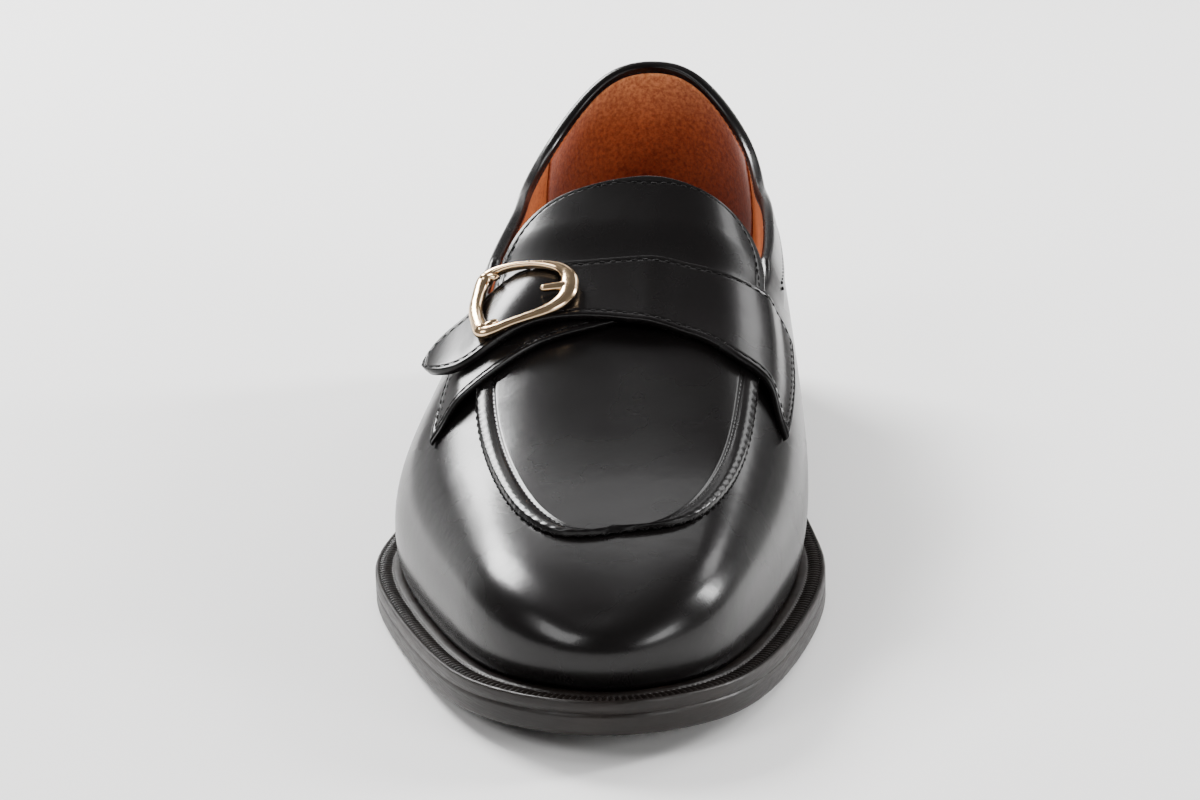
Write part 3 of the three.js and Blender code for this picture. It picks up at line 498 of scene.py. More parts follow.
SOCK_TOP = WELT_TOP + INSOLE_RISE
sock_edge = [(0.4, OUTSOLE + CLEAR), (0, OUTSOLE + CLEAR + 0.4), (0, SOCK_TOP - 0.5), (0.15, SOCK_TOP - 0.12)]
sock_edge.append((0.5, SOCK_TOP))
sock_rows = slab(close_ends(SOCK_ROWS), insole_margin, sock_edge, SOCK_ACROSS)
dish = SOCK_DISH * rise(sock_rows[:, :, 1] / LENGTH, *DISH_RISE)
off_middle = (sock_rows[:, :, 0] - HEEL_SWING * BALL_WIDTH) / DISH_HALF_WIDTH
across_dish = np.clip(1 - off_middle ** 2, 0, 1)
sock_rows[:, :, 2] -= dish * across_dish * (sock_rows[:, :, 2] > ground(sock_rows[:, :, 1]) + SOCK_TOP - 0.1)
lining_leather = aniline_lining_leather("aniline_lining_leather", "#bb6737", "#8f4722", 0.5)
make_piece("sock_lining", lining_leather, [(sock_rows, False, True)], ["insole"])

# Upper
# Vamp and quarters of polished black calf, lasted in one hollow shell about 2 mm thick with its
# lining. The top line is bound by a folded collar band with a row of stitches along its lower edge.
INSTEP_HEIGHT = 58.0
BACK_HEIGHT = 59.0
COLLAR_BAND = 8.0
COLLAR_STEP = 0.6
THROAT = 0.418
COLLAR_START = 0.545
TOP_ROLL = 1.3
FACING = 3.0
COLLAR_RISE = (0.505, 0.56)

# Sections of the last: crest and spine place the crown across (share of BALL_WIDTH) and along (share
# of LENGTH), crown is its height above the feather line (share of INSTEP_HEIGHT). The belly stands
# out by a share of BALL_WIDTH; shoulder and side lie inward by a share of the way to the crown, each
# at a share of the crown's height.
LAST = table(
    ("crest", "spine", "crown", "belly_medial", "belly_lateral", "belly_up")
    + ("shoulder_medial", "shoulder_lateral", "shoulder_up", "side_in", "side_up"),
    [
        (0.12, 0.026, 0.238, 0.0, 0.0, 0.48, 0.15, 0.15, 0.71, 0.45, 0.89),
        (0.12, 0.033, 0.261, 0.004, 0.004, 0.48, 0.15, 0.15, 0.755, 0.45, 0.92),
        (0.121, 0.056, 0.318, 0.01, 0.01, 0.42, 0.08, 0.08, 0.9, 0.45, 1.03),
        (0.123, 0.125, 0.42, 0.014, 0.014, 0.38, 0.08, 0.08, 0.88, 0.45, 1.04),
        (0.114, 0.225, 0.545, 0.018, 0.02, 0.34, 0.07, 0.08, 0.8, 0.45, 1.03),
        (0.098, 0.33, 0.72, 0.03, 0.012, 0.32, 0.03, 0.09, 0.76, 0.45, 1.02),
        (0.092, 0.44, 0.93, 0.07, -0.006, 0.36, -0.06, 0.12, 0.74, 0.42, 1.0),
        (0.092, 0.555, 1.17, 0.116, 0.017, 0.36, -0.02, 0.213, 0.7, 0.42, 0.98),
        (0.076, 0.675, 1.42, 0.099, 0.019, 0.32, 0.097, 0.287, 0.62, 0.4, 0.97),
        (0.049, 0.775, 1.5, 0.043, 0.037, 0.26, 0.083, 0.122, 0.56, 0.4, 0.97),
        (0.027, 0.835, 1.52, 0.046, 0.036, 0.2, 0.06, 0.06, 0.54, 0.4, 0.97),
        (0.022, 0.855, 1.52, 0.04, 0.04, 0.18, 0.06, 0.06, 0.54, 0.4, 0.97),
        (0.022, 0.86, 1.52, 0.042, 0.042, 0.18, 0.06, 0.06, 0.54, 0.4, 0.97),
    ],
)
# Height of the top line above the feather line from the instep section back, a share of BACK_HEIGHT
TOP_LINE = [0.9, 0.77, 0.673, 0.607, 0.726, 0.94, 1.0]

spine_along = spline_through(LAST["spine"], "even", "even")
spine_across = spline_through(LAST["crest"], "even", "even")
crown_height = spline_through(LAST["crown"], "even", "even")
belly = round_foot(LAST["belly_medial"], LAST["belly_lateral"])
belly_up = round_foot(LAST["belly_up"], LAST["belly_up"])
shoulder = round_foot(LAST["shoulder_medial"], LAST["shoulder_lateral"])
shoulder_up = round_foot(LAST["shoulder_up"], LAST["shoulder_up"])
side_in = round_foot(LAST["side_in"], LAST["side_in"])
side_up = round_foot(LAST["side_up"], LAST["side_up"])
top_line = spline_through(TOP_LINE, "odd", "even")
NARROW = 20.0


def feather(y):
    """Height of the line where the upper meets the welt."""
    return ground(y) + WELT_TOP + CLEAR


def half_section(place):
    """Control points of half a section, from its foot to its crown."""
    station = np.minimum(place, ROUND - place)
    foot = np.stack([foot_across(place) * BALL_WIDTH, foot_along(place) * LENGTH], -1)
    top = np.stack([spine_across(station) * BALL_WIDTH, spine_along(station) * LENGTH], -1)
    run = np.linalg.norm(top - foot, axis=-1)
    inward = (top - foot) / np.maximum(run, 1e-6)[..., None]
    crown = crown_height(station) * INSTEP_HEIGHT
    base = feather(foot[..., 1])
    tucked = np.concatenate([outline(place, -TUCK), base[..., None]], -1)
    steps = [
        (-belly(place) * BALL_WIDTH * np.minimum(1, run / NARROW), belly_up(place) * crown),
        (shoulder(place) * run, shoulder_up(place) * crown),
        (side_in(place) * run, side_up(place) * crown),
        (run, crown),
    ]
    bent = [np.concatenate([foot + inward * way[..., None], (base + up)[..., None]], -1) for way, up in steps]
    return [tucked] + bent


def surface_point(station, girth):
    """Point of the upper's surface. girth is -1 at the medial feather line, 0 at the crown, 1 laterally."""
    station, girth = np.broadcast_arrays(np.asarray(station, float), np.asarray(girth, float))
    beyond = station > HEEL
    station = np.where(beyond, ROUND - station, station)
    girth = np.where(beyond, -girth, girth)
    medial = half_section(station)
    lateral = half_section(ROUND - station)
    points = np.stack(medial[:4] + [(medial[4] + lateral[4]) / 2] + lateral[3::-1], -2)
    count = points.shape[-2]
    spans = count - 3
    t = np.clip((girth + 1) / 2 * spans, 0, spans)
    span = np.minimum(np.floor(t).astype(int), spans - 1)
    local = [np.take_along_axis(points, (span + j)[..., None, None], -2)[..., 0, :] for j in range(4)]
    for depth in (1, 2, 3):
        for j in range(3, depth - 1, -1):
            first = np.clip(span + j - 3, 0, spans)
            last = np.clip(span + j - depth + 1, 0, spans)
            share = ((t - first) / (last - first))[..., None]
            local[j] = local[j - 1] + (local[j] - local[j - 1]) * share
    return local[3]


def surface_normal(station, girth):
    step = 1e-3
    s = np.maximum(station, 5 * step)
    g = np.clip(girth, step - 1, 1 - step)
    along = surface_point(s + step, g) - surface_point(s - step, g)
    around = surface_point(s, g + step) - surface_point(s, g - step)
    out = np.cross(along, around)
    return out / np.linalg.norm(out, axis=-1, keepdims=True)


def lifted(station, girth, height):
    """Point at a height above the upper's surface."""
    station, girth = np.broadcast_arrays(np.asarray(station, float), np.asarray(girth, float))
    up = surface_normal(station, girth) * np.asarray(height, float)[..., None]
    return surface_point(station, girth) + up


def girth_at_height(station, side, height):
    """Girth at which sections reach a height above the feather line."""
    base = feather(foot_along(station) * LENGTH)
    low = np.zeros_like(station)
    high = np.ones_like(station)
    for _ in range(30):
        middle = (low + high) / 2
        above = surface_point(station, side * middle)[..., 2] - base > height
        low = np.where(above, middle, low)
        high = np.where(above, high, middle)
    return (low + high) / 2


THROAT_STATION = float(station_at(THROAT))
COLLAR_STATION = float(station_at(COLLAR_START))
FIRST_TOP_STATION = HEEL + 1 - len(TOP_LINE)


def top_height(station):
    return top_line(station - FIRST_TOP_STATION) * BACK_HEIGHT


def girth_below_top(station, side, below):
    """Girth at a height below the top line, or in front of the throat that far from the crown."""
    station = np.asarray(station, float)
    start = np.array([COLLAR_STATION])
    collar = girth_at_height(start, side, top_height(start))[0]
    down = girth_at_height(start, side, top_height(start) - below)[0]
    share = np.clip((foot_along(station) - THROAT) / (COLLAR_START - THROAT), 0, 1)
    front = collar * np.sqrt(1 - (1 - share) ** 2) + down - collar
    back = girth_at_height(station, side, top_height(station) - below)
    return np.where(station < COLLAR_STATION, front, back)


def upper_places():
    """Places round the upper, from the toe down the medial side and back."""
    toe = np.linspace(0, 1, 90) ** 1.3 * 4.0
    vamp = np.linspace(4.0, THROAT_STATION, 50)[1:]
    opening = 1 - np.cos(np.linspace(0, 1, 50)[1:] * math.pi / 2)
    throat = station_at(THROAT + (COLLAR_START - THROAT) * opening)
    quarters = COLLAR_STATION + (HEEL - COLLAR_STATION) * np.sin(np.linspace(0, 1, 110)[1:] * math.pi / 2)
    half = np.concatenate([toe, vamp, throat, quarters])
    return np.concatenate([half, ROUND - half[-2:0:-1]])


places = upper_places()
stations = np.minimum(places, ROUND - places)
sides = np.where(places <= HEEL, -1.0, 1.0)
medial_half = places <= HEEL
open_top = stations >= THROAT_STATION - 1e-9


def below(distance):
    """Signed girth of every row at a distance below the top line."""
    return np.where(
        medial_half, girth_below_top(stations, -1, distance), girth_below_top(stations, 1, distance)
    )


def collar_thickness():
    """The collar band starts behind the tongue's sides."""
    return COLLAR_STEP * rise(foot_along(stations), *COLLAR_RISE)


WALL_COLUMNS = 54
band_edge = below(COLLAR_BAND + 0.4)
wall_shares = np.linspace(0, 1, WALL_COLUMNS + 1)
girth_columns = [1 + (band_edge - 1) * share for share in wall_shares]
height_columns = [np.zeros(len(places)) for _ in wall_shares]
step = collar_thickness()
for distance, raised in ((8.15, 0.12), (8.0, 0.45), (7.85, 0.85), (7.6, 1.0), (7.1, 1.0), (6.4, 1.0)):
    girth_columns.append(below(distance))
    height_columns.append(step * raised)
for distance in (5.4, 4.4, 3.4, 2.4, TOP_ROLL):
    girth_columns.append(below(distance))
    height_columns.append(step)
# In front of the throat the last column is the crown itself
closing = np.where(open_top, 1.0, 0.0)
girth_columns[-1] = girth_columns[-1] * closing
outer_girths = np.stack(girth_columns, 1) * sides[:, None]
outer_heights = np.stack(height_columns, 1)
outer_skin = lifted(stations[:, None], outer_girths, outer_heights)
# The wall's foot turns in flat on the welt
foot_out = surface_normal(stations, outer_girths[:, 0])
foot_out[:, 2] = 0
foot_out /= np.linalg.norm(foot_out, axis=1, keepdims=True)


def inner_skin(depth, columns):
    """The inside of the wall at a depth below the outer surface, along chosen girth columns."""
    points = lifted(stations[:, None], columns * sides[:, None], np.full(columns.shape, -depth))
    points[:, 0] = outer_skin[:, 0] - foot_out * depth
    return points


def top_roll(outer_height, inner_depth, distance, count):
    """Round top edge between the outer and the inner side, for the rows with an open top."""
    rows = np.flatnonzero(open_top)
    s = stations[rows]
    g = below(distance)[rows] * sides[rows]
    base = surface_point(s, g)
    out = surface_normal(s, g)
    upward = base - surface_point(s, below(distance + 0.5)[rows] * sides[rows])
    upward -= out * np.sum(upward * out, axis=1, keepdims=True)
    upward /= np.maximum(np.linalg.norm(upward, axis=1, keepdims=True), 1e-9)
    middle = (outer_height[rows] - inner_depth) / 2
    half = (outer_height[rows] + inner_depth) / 2
    columns = []
    for angle in np.linspace(0, math.pi, count):
        reach = distance * math.sin(angle) ** 0.8 if 0 < angle < math.pi else 0
        lift = (middle + half * math.cos(angle))[:, None]
        columns.append(base + out * lift + upward * reach)
    return np.stack(columns, 1)


def polished_black_calf():
    """Corrected calf with a high wax polish: near-black, a clear gloss over a fine, soft grain."""
    material, shader = new_finish(
        "polished_black_calf",
        Base_Color=linear("#0d0b0b"),
        IOR=1.33,
        Coat_Weight=0.12,
        Coat_Roughness=0.12,
        Coat_IOR=1.4,
    )
    place = add(material, "ShaderNodeTexCoord").outputs["Object"]
    waves = add(material, "ShaderNodeTexNoise", Vector=place, Scale=160.0, Detail=2.0).outputs["Fac"]
    pores = add(material, "ShaderNodeTexNoise", Vector=place, Scale=900.0, Detail=3.0).outputs["Fac"]
    smear = add(material, "ShaderNodeTexNoise", Vector=place, Scale=45.0, Detail=4.0).outputs["Fac"]
    gloss = add(
        material, "ShaderNodeMapRange", i0=smear, i1=0.3, i2=0.7, i3=0.24, i4=0.3
    ).outputs["Result"]
    material.node_tree.links.new(gloss, shader.inputs["Roughness"])
    soft = add(material, "ShaderNodeBump", Height=waves, Strength=0.14, Distance=0.0004)
    fine = add(
        material, "ShaderNodeBump", Height=pores, Strength=0.16, Distance=0.0001,
        Normal=soft.outputs["Normal"],
    )
    material.node_tree.links.new(fine.outputs["Normal"], shader.inputs["Normal"])
    material.node_tree.links.new(soft.outputs["Normal"], shader.inputs["Coat Normal"])
    return material


upper_calf = polished_black_calf()
SHELL = 1.0
shell_columns = np.stack(girth_columns, 1)[:, ::3]
shell_columns = np.concatenate([shell_columns, (below(FACING) * closing)[:, None]], 1)
shell_columns[:, :-1] = np.maximum(shell_columns[:, :-1], shell_columns[:, -1:])
shell_inner = inner_skin(SHELL, shell_columns)
facing_depth = WALL + 0.25
facing_rows = np.flatnonzero(open_top)
facing = [shell_inner[facing_rows, -1]]
for distance, depth in ((FACING, facing_depth - 0.15), (FACING - 0.15, facing_depth), (2.2, facing_depth)):
    girths = below(distance)[facing_rows] * sides[facing_rows]
    facing.append(lifted(stations[facing_rows], girths, np.full(len(facing_rows), -depth)))
roll = top_roll(step, facing_depth, TOP_ROLL, 13)
facing_skin = np.concatenate([np.stack(facing, 1), roll[:, ::-1]], axis=1)
foot_rim = np.stack([outer_skin[:, 0], shell_inner[:, 0]], 1)
make_piece(
    "upper_calf_shell",
    upper_calf,
    [
        (outer_skin, True, False),
        (shell_inner, True, False),
        (facing_skin, False, False),
        (foot_rim, True, False),
    ],
    ["upper"],
)

# Lining
# Smooth orange-brown lining leather cemented inside the upper below the folded band, with a heel grip
# of the same leather, flesh side out, sewn in round the back.
lining_outer = inner_skin(SHELL + 0.05, shell_columns)
lining_inner = inner_skin(WALL, shell_columns)
lining_top = np.stack([lining_outer[facing_rows, -1], lining_inner[facing_rows, -1]], 1)
lining_foot = np.stack([lining_outer[:, 0], lining_inner[:, 0]], 1)
make_piece(
    "quarter_lining",
    lining_leather,
    [
        (lining_outer, True, False),
        (lining_inner, True, False),
        (lining_top, False, False),
        (lining_foot, True, False),
    ],
)

# Heel grip
# A piece of the lining leather with its napped flesh side out, sewn in round the back under the folded
# band so that the heel doesn't slip. Its two upright edges show as seams inside the quarters.
GRIP_STATION = 9.75
GRIP = 0.45
GRIP_REACH = 40
GRIP_ROWS = 150
GRIP_COLUMNS = 40


def grip_layer(depth, trim):
    """One face of the grip: places round the heel and distances down from the top edge."""
    places = np.linspace(GRIP_STATION + trim, ROUND - GRIP_STATION - trim, GRIP_ROWS)
    on_medial = places <= HEEL
    station = np.minimum(places, ROUND - places)
    columns = []
    for distance in np.linspace(FACING - 0.4, GRIP_REACH, GRIP_COLUMNS):
        girth = np.where(
            on_medial, -girth_below_top(station, -1, distance), girth_below_top(station, 1, distance)
        )
        columns.append(lifted(station, girth, np.full(len(station), -depth)))
    return np.stack(columns, 1)


def napped_lining_leather():
    """Flesh side of the lining leather: a short, dark-flecked nap without gloss, with painted shade that
    darkens it towards the bottom.
    """
    material, shader = new_finish(
        "napped_lining_leather", Roughness=0.95, Specular_IOR_Level=0.1, Sheen_Weight=0.3
    )
    place = add(material, "ShaderNodeTexCoord").outputs["Object"]
    height = add(material, "ShaderNodeSeparateXYZ", Vector=place).outputs["Z"]
    nap = add(
        material, "ShaderNodeTexNoise", Vector=place, Scale=900.0, Detail=4.0, Roughness=0.7
    ).outputs["Fac"]
    fleck = ramp(material, nap, [(0.36, "#a45c36"), (0.62, "#d98d5c")])
    # Painted shade: the nap's colour is multiplied darker lower down inside the heel, where shade falls, and
    # lighter towards the top edge.
    towards_top = add(
        material, "ShaderNodeMapRange", i0=height, i1=0.045, i2=0.082, i3=0.0, i4=1.0
    ).outputs["Result"]
    painted_shade = ramp(material, towards_top, [(0.0, "#8a5a48"), (0.6, "#d8b09c"), (1.0, "#ffffff")])
    mixed = add(
        material, "ShaderNodeMix", {"data_type": "RGBA", "blend_type": "MULTIPLY"}, i0=1.0, i6=fleck, i7=painted_shade
    )
    material.node_tree.links.new(mixed.outputs[2], shader.inputs["Base Color"])
    bump = add(material, "ShaderNodeBump", Height=nap, Strength=0.6, Distance=0.0003)
    material.node_tree.links.new(bump.outputs["Normal"], shader.inputs["Normal"])
    return material


grip_face = grip_layer(WALL + GRIP, 0.03)
grip_back = grip_layer(WALL + 0.02, 0.0)
make_piece(
    "heel_grip",
    napped_lining_leather(),
    [(grip_face, False, False), (grip_back, False, False)]
    + [(np.stack([grip_face[:, j], grip_back[:, j]], 1), False, False) for j in (0, -1)]
    + [(np.stack([grip_face[i], grip_back[i]], 1), False, False) for i in (0, -1)],
)

# Plug and tongue
# One piece of the same calf: the raised plug, its turned edge drawn to the vamp by a puckered hand-sewn
# seam with a second, twisted row inside the roll, and the tongue that it runs on to behind the strap.
PLUG = 0.9
TONGUE = 1.9
TONGUE_SLACK = 0.4
END_FAN = 2.3
PUCKER = 2.65
TWIST_PITCH = 1.55
ROLL_MIDDLE = 2.1
TWIST_ROW = 4.45
TONGUE_ROW = 2.5
PLUG_END = (0.345, 0.385)
TONGUE_START = (0.46, 0.5)
SLACK_START = (0.36, 0.41)

# The outline on the upper: along is a share of LENGTH, girth runs from the medial feather line at -1
PLUG_OUTLINE = table(
    ("medial_along", "medial_girth", "lateral_along", "lateral_girth"),
    [
        (0.1188, 0.05, 0.1188, 0.05),
        (0.1245, -0.06, 0.116, 0.15),
        (0.13, -0.2, 0.119, 0.225),
        (0.143, -0.32, 0.131, 0.29),
        (0.172, -0.405, 0.158, 0.352),
        (0.215, -0.455, 0.205, 0.392),
        (0.27, -0.478, 0.265, 0.412),
        (0.345, -0.487, 0.34, 0.418),
        (0.415, -0.515, 0.415, 0.425),
        (0.47, -0.545, 0.463, 0.445),
        (0.503, -0.545, 0.49, 0.42),
        (0.5215, -0.5, 0.508, 0.375),
        (0.531, -0.38, 0.5235, 0.285),
        (0.538, -0.2, 0.534, 0.15),
        (0.5415, -0.03, 0.5415, -0.03),
    ],
)
plug_along = round_foot(PLUG_OUTLINE["medial_along"], PLUG_OUTLINE["lateral_along"])
plug_girth = round_foot(PLUG_OUTLINE["medial_girth"], PLUG_OUTLINE["lateral_girth"])
PLUG_HALF = len(PLUG_OUTLINE["medial_along"]) - 1


def on_upper(plan, height=0.0):
    """Points at a height over places given as along and girth."""
    return lifted(station_at(plan[..., 0]), plan[..., 1], height)


def up_from_upper(plan):
    return surface_normal(station_at(plan[..., 0]), plan[..., 1])


def bump_shape(x):
    """A smooth hump: 1 at 0, and 0 from -1 outwards and from 1 outwards."""
    return np.clip(1 - np.asarray(x) ** 2, 0, None) ** 2


def plug_plan(t, inward, rest=0.0):
    """Places at a distance in from the plug's edge, and a share of the rest of the way to its middle."""
    m = np.clip(np.minimum(t, 2 * PLUG_HALF - t), END_FAN, PLUG_HALF - END_FAN)
    edge = np.stack([plug_along(t), plug_girth(t)], -1)
    middle = np.stack([plug_along(m) + plug_along(-m), plug_girth(m) + plug_girth(-m)], -1) / 2
    reach = np.linalg.norm(on_upper(edge) - on_upper(middle), axis=-1)
    near = np.minimum(inward / reach, 0.9)
    share = near + (1 - near) * rest
    return edge + (middle - edge) * share[..., None]


def run_length(points):
    steps_between = np.linalg.norm(np.diff(points, axis=0), axis=-1)
    return np.concatenate([[0], np.cumsum(steps_between)])


def plug_height(along, inward, length):
    """Height over the upper of the plug's roll and flat, passing into the tongue."""
    roll = CLEAR + PLUG * rise(inward, -0.35, 0.75) + 0.35 * bump_shape((inward - ROLL_MIDDLE) / 2.4)
    roll = roll - 0.25 * bump_shape((inward - TWIST_ROW) / 0.9)
    roll = roll + 0.06 * np.cos(2 * math.pi * length / PUCKER) * bump_shape(inward / 2.8)
    plain = CLEAR + PLUG + (TONGUE - PLUG) * rise(along, *TONGUE_START)
    plain = plain - 0.75 * (1 - rise(inward, -0.5, 0.6)) - 0.15 * bump_shape((inward - TONGUE_ROW) / 0.5)
    return roll + (plain - roll) * rise(along, *PLUG_END)


half_fine = np.linspace(0, PLUG_HALF, 1500)
medial_run = run_length(on_upper(plug_plan(half_fine, 0.0)))
lateral_run = run_length(on_upper(plug_plan(2 * PLUG_HALF - half_fine, 0.0)))
both_run = (medial_run + lateral_run) / 2
PLUG_STEPS = 430
half_places = np.interp(np.linspace(0, both_run[-1], PLUG_STEPS + 1), both_run, half_fine)
plug_t = np.concatenate([half_places, 2 * PLUG_HALF - half_places[-2:0:-1]])
medial_part = plug_t <= PLUG_HALF
edge_run = np.where(
    medial_part,
    np.interp(plug_t, half_fine, medial_run),
    -np.interp(2 * PLUG_HALF - plug_t, half_fine, lateral_run),
)
near_edge = np.concatenate(
    [[0, 0.1, 0.22, 0.36, 0.52, 0.72], np.arange(0.95, 3.6, 0.26), np.arange(3.65, 5.9, 0.15)]
)
inner_shares = np.linspace(0, 1, 18)[1:]
inward_columns = np.concatenate([near_edge, np.full(len(inner_shares), near_edge[-1])])
rest_columns = np.concatenate([np.zeros(len(near_edge)), inner_shares])
plug_places = plug_plan(plug_t[:, None], inward_columns[None], rest_columns[None])
plug_inward = inward_columns[None] + 6 * rest_columns[None]
plug_heights = plug_height(plug_places[..., 0], plug_inward, edge_run[:, None])
plug_skin = on_upper(plug_places, plug_heights)
under_places = plug_plan(plug_t[:, None], np.array([[0, 4, 4, 4, 4]]), np.array([[0, 0, 0.35, 0.7, 1]]))
under_heights = 0.1 + (TONGUE_SLACK + 0.55) * rise(under_places[..., 0], *SLACK_START)
plug_under = on_upper(under_places, under_heights)
plug_rim = np.stack([plug_skin[:, 0], plug_under[:, 0]], 1)
make_piece(
    "plug_and_tongue_calf",
    upper_calf,
    [(plug_skin, True, False), (plug_under, True, False), (plug_rim, True, False)],
    ["plug_and_tongue"],
)

# Tongue lining
# A thin piece of the orange-brown lining leather cemented under the tongue, cut a little smaller.
lining_t = np.linspace(8.2, PLUG_HALF, 60)
across_shares = np.linspace(0, 1, 25)


def tongue_layer(height):
    medial = plug_plan(lining_t, 0.35)
    lateral = plug_plan(2 * PLUG_HALF - lining_t, 0.35)
    plan = medial[:, None] + (lateral - medial)[:, None] * across_shares[:, None]
    return on_upper(plan, height)


lining_face = tongue_layer(0.4)
lining_back = tongue_layer(0.95)
lining_loop = [np.stack([lining_face[:, j], lining_back[:, j]], 1) for j in (0, -1)]
lining_end = np.stack([lining_face[0], lining_back[0]], 1)
make_piece(
    "tongue_lining",
    lining_leather,
    [(lining_face, False, False), (lining_back, False, False), (lining_end, False, False)]
    + [(strip, False, False) for strip in lining_loop],
)

# Wing and strap
# Two overlaid bands of the same calf with painted edges. The wing is sewn down under the buckle on
# the lateral side. The strap is sewn in at the medial side, crosses the instep, bulges up a little
# through the buckle's ring and ends in a free, rounded tip.
RIDGE = 0.4
WING = 1.3
STRAP = 1.8
TIP_LIFT = 1.4
STRAP_BULGE = 1.3
EDGE_ROW = 1.6
STRAP_EDGES = table(
    ("front_along", "front_girth", "back_along", "back_girth"),
    [
        (0.308, -0.63, 0.444, -0.66),
        (0.332, -0.55, 0.459, -0.6),
        (0.3485, -0.48, 0.457, -0.5),
        (0.355, -0.385, 0.4535, -0.395),
        (0.369, -0.26, 0.452, -0.26),
        (0.379, -0.09, 0.4535, -0.08),
        (0.386, 0.11, 0.449, 0.14),
        (0.377, 0.27, 0.445, 0.3),
        (0.3525, 0.4, 0.4215, 0.43),
        (0.349, 0.49, 0.407, 0.52),
        (0.362, 0.555, 0.3955, 0.57),
        (0.381, 0.592, 0.381, 0.592),
    ],
)
WING_EDGES = table(
    ("front_along", "front_girth", "back_along", "back_girth"),
    [
        (0.392, -0.02, 0.433, -0.02),
        (0.377, 0.12, 0.4365, 0.12),
        (0.362, 0.235, 0.44, 0.22),
        (0.337, 0.35, 0.442, 0.32),
        (0.3155, 0.455, 0.441, 0.4),
        (0.289, 0.59, 0.4365, 0.475),
    ],
)
STRAP_ON_PLUG = (-0.6, -0.5)
STRAP_ON_WING = (-0.22, -0.06)
STRAP_TIP = (0.44, 0.6)
WING_ON_PLUG = (0.45, 0.56)
OVER_PLUG = CLEAR + PLUG + RIDGE + CLEAR
OVER_WING = OVER_PLUG + WING + CLEAR
BULGE_MIDDLE = 0.285
BULGE_HALF = 0.15


def strap_lift(girth, share):
    """Height of the strap's underside over the upper."""
    on_plug = (OVER_PLUG - CLEAR) * rise(girth, *STRAP_ON_PLUG)
    on_wing = (OVER_WING - OVER_PLUG) * rise(girth, *STRAP_ON_WING)
    tip = TIP_LIFT * rise(girth, *STRAP_TIP)
    bulge = STRAP_BULGE * bump_shape((girth - BULGE_MIDDLE) / BULGE_HALF) * bump_shape((share - 0.5) * 1.5)
    return CLEAR + on_plug + on_wing + tip + bulge


def wing_lift(girth, share):
    return OVER_PLUG + (CLEAR - OVER_PLUG) * rise(girth, *WING_ON_PLUG)


class Band:
    """A flat leather band between a front and a back edge drawn on the upper."""

    def __init__(self, edges, lift, thickness):
        self.last = len(edges["front_along"]) - 1
        self.lift = lift
        self.thickness = thickness
        self.edges = [spline_through(edges[name], "odd", "odd") for name in edges]

    def plan(self, t, share):
        front_along, front_girth, back_along, back_girth = (edge(t) for edge in self.edges)
        along = front_along + (back_along - front_along) * share
        return np.stack([along, front_girth + (back_girth - front_girth) * share], -1)

    def width(self, t):
        ends = [on_upper(self.plan(t, np.full(np.shape(t), share))) for share in (0.0, 1.0)]
        return np.linalg.norm(ends[0] - ends[1], axis=-1)

    def place(self, t, share, height):
        """Points at a height over the band's underside."""
        plan = self.plan(t, share)
        return on_upper(plan, self.lift(plan[..., 1], share) + height)

    def grids(self, rows):
        close = np.array([0, 0.004, 0.012, 0.025, 0.045, 0.07, 0.11, 0.14, 0.17, 0.2])
        t = np.concatenate([close, np.linspace(0.26, self.last - 0.26, rows), self.last - close[::-1]])
        edge = np.array([0, 0.04, 0.12, 0.24, 0.4, 0.6, 0.9, 1.2, 1.4, 1.6, 1.8, 2.0, 2.4])
        width = self.width(t)
        small = np.minimum(1, width / 6)[:, None]
        middle = np.linspace(0, 1, 26)[1:-1]
        left = edge * small
        inner = left[:, -1:] + (width[:, None] - 2 * left[:, -1:]) * middle
        distance = np.concatenate([left, inner, width[:, None] - left[:, ::-1]], 1)
        share = distance / np.maximum(width, 1e-6)[:, None]
        spine = run_length(on_upper(self.plan(t, np.full(len(t), 0.5))))
        from_end = np.minimum(spine, spine[-1] - spine)[:, None]
        inward = np.minimum(np.minimum(distance, width[:, None] - distance), from_end)
        rounded = 0.5 + 0.5 * np.sqrt(1 - (1 - np.clip(inward / 0.55, 0, 1)) ** 2)
        height = self.thickness * rounded - 0.14 * bump_shape((inward - EDGE_ROW) / 0.4)
        t_all = np.broadcast_to(t[:, None], share.shape)
        top = self.place(t_all, share, height)
        low = self.place(t_all, share, 0 * height)
        strips = [np.stack([top[:, j], low[:, j]], 1) for j in (0, -1)]
        strips += [np.stack([top[i], low[i]], 1) for i in (0, -1)]
        return [(grid, False, False) for grid in [top, low, *strips]]


wing_band = Band(WING_EDGES, wing_lift, WING)
make_piece("wing_calf", upper_calf, wing_band.grids(150), ["strap_wing"])
strap_band = Band(STRAP_EDGES, strap_lift, STRAP)
make_piece("strap_calf", upper_calf, strap_band.grids(330), ["strap"])

# Buckle
# A zinc casting with a pale gold finish: a flat crescent at the round end, thin arms, a straight bar
# with knuckles and turned-in hooks at its ends, and a stub prong that only looks like a pin.
BUCKLE_LENGTH = 20.5
BUCKLE_WIDTH = 20.0
BUCKLE_WIRE = 2.6
ROUND_END = (0.414, 0.135)
BAR = (0.405, 0.425)
RING = table(
    ("out", "side", "wide", "thick"),
    [
        (0.5, 0.0, 3.3, 2.7),
        (0.5, 0.26, 3.3, 2.7),
        (0.49, 0.43, 3.5, 2.9),
        (0.42, 0.5, 2.9, 2.6),
        (0.25, 0.5, 2.1, 2.3),
        (0.02, 0.45, 1.9, 2.1),
        (-0.22, 0.37, 2.4, 2.1),
        (-0.39, 0.26, 3.2, 2.2),
        (-0.48, 0.13, 3.9, 2.4),
        (-0.5, 0.0, 4.2, 2.4),
    ],
)


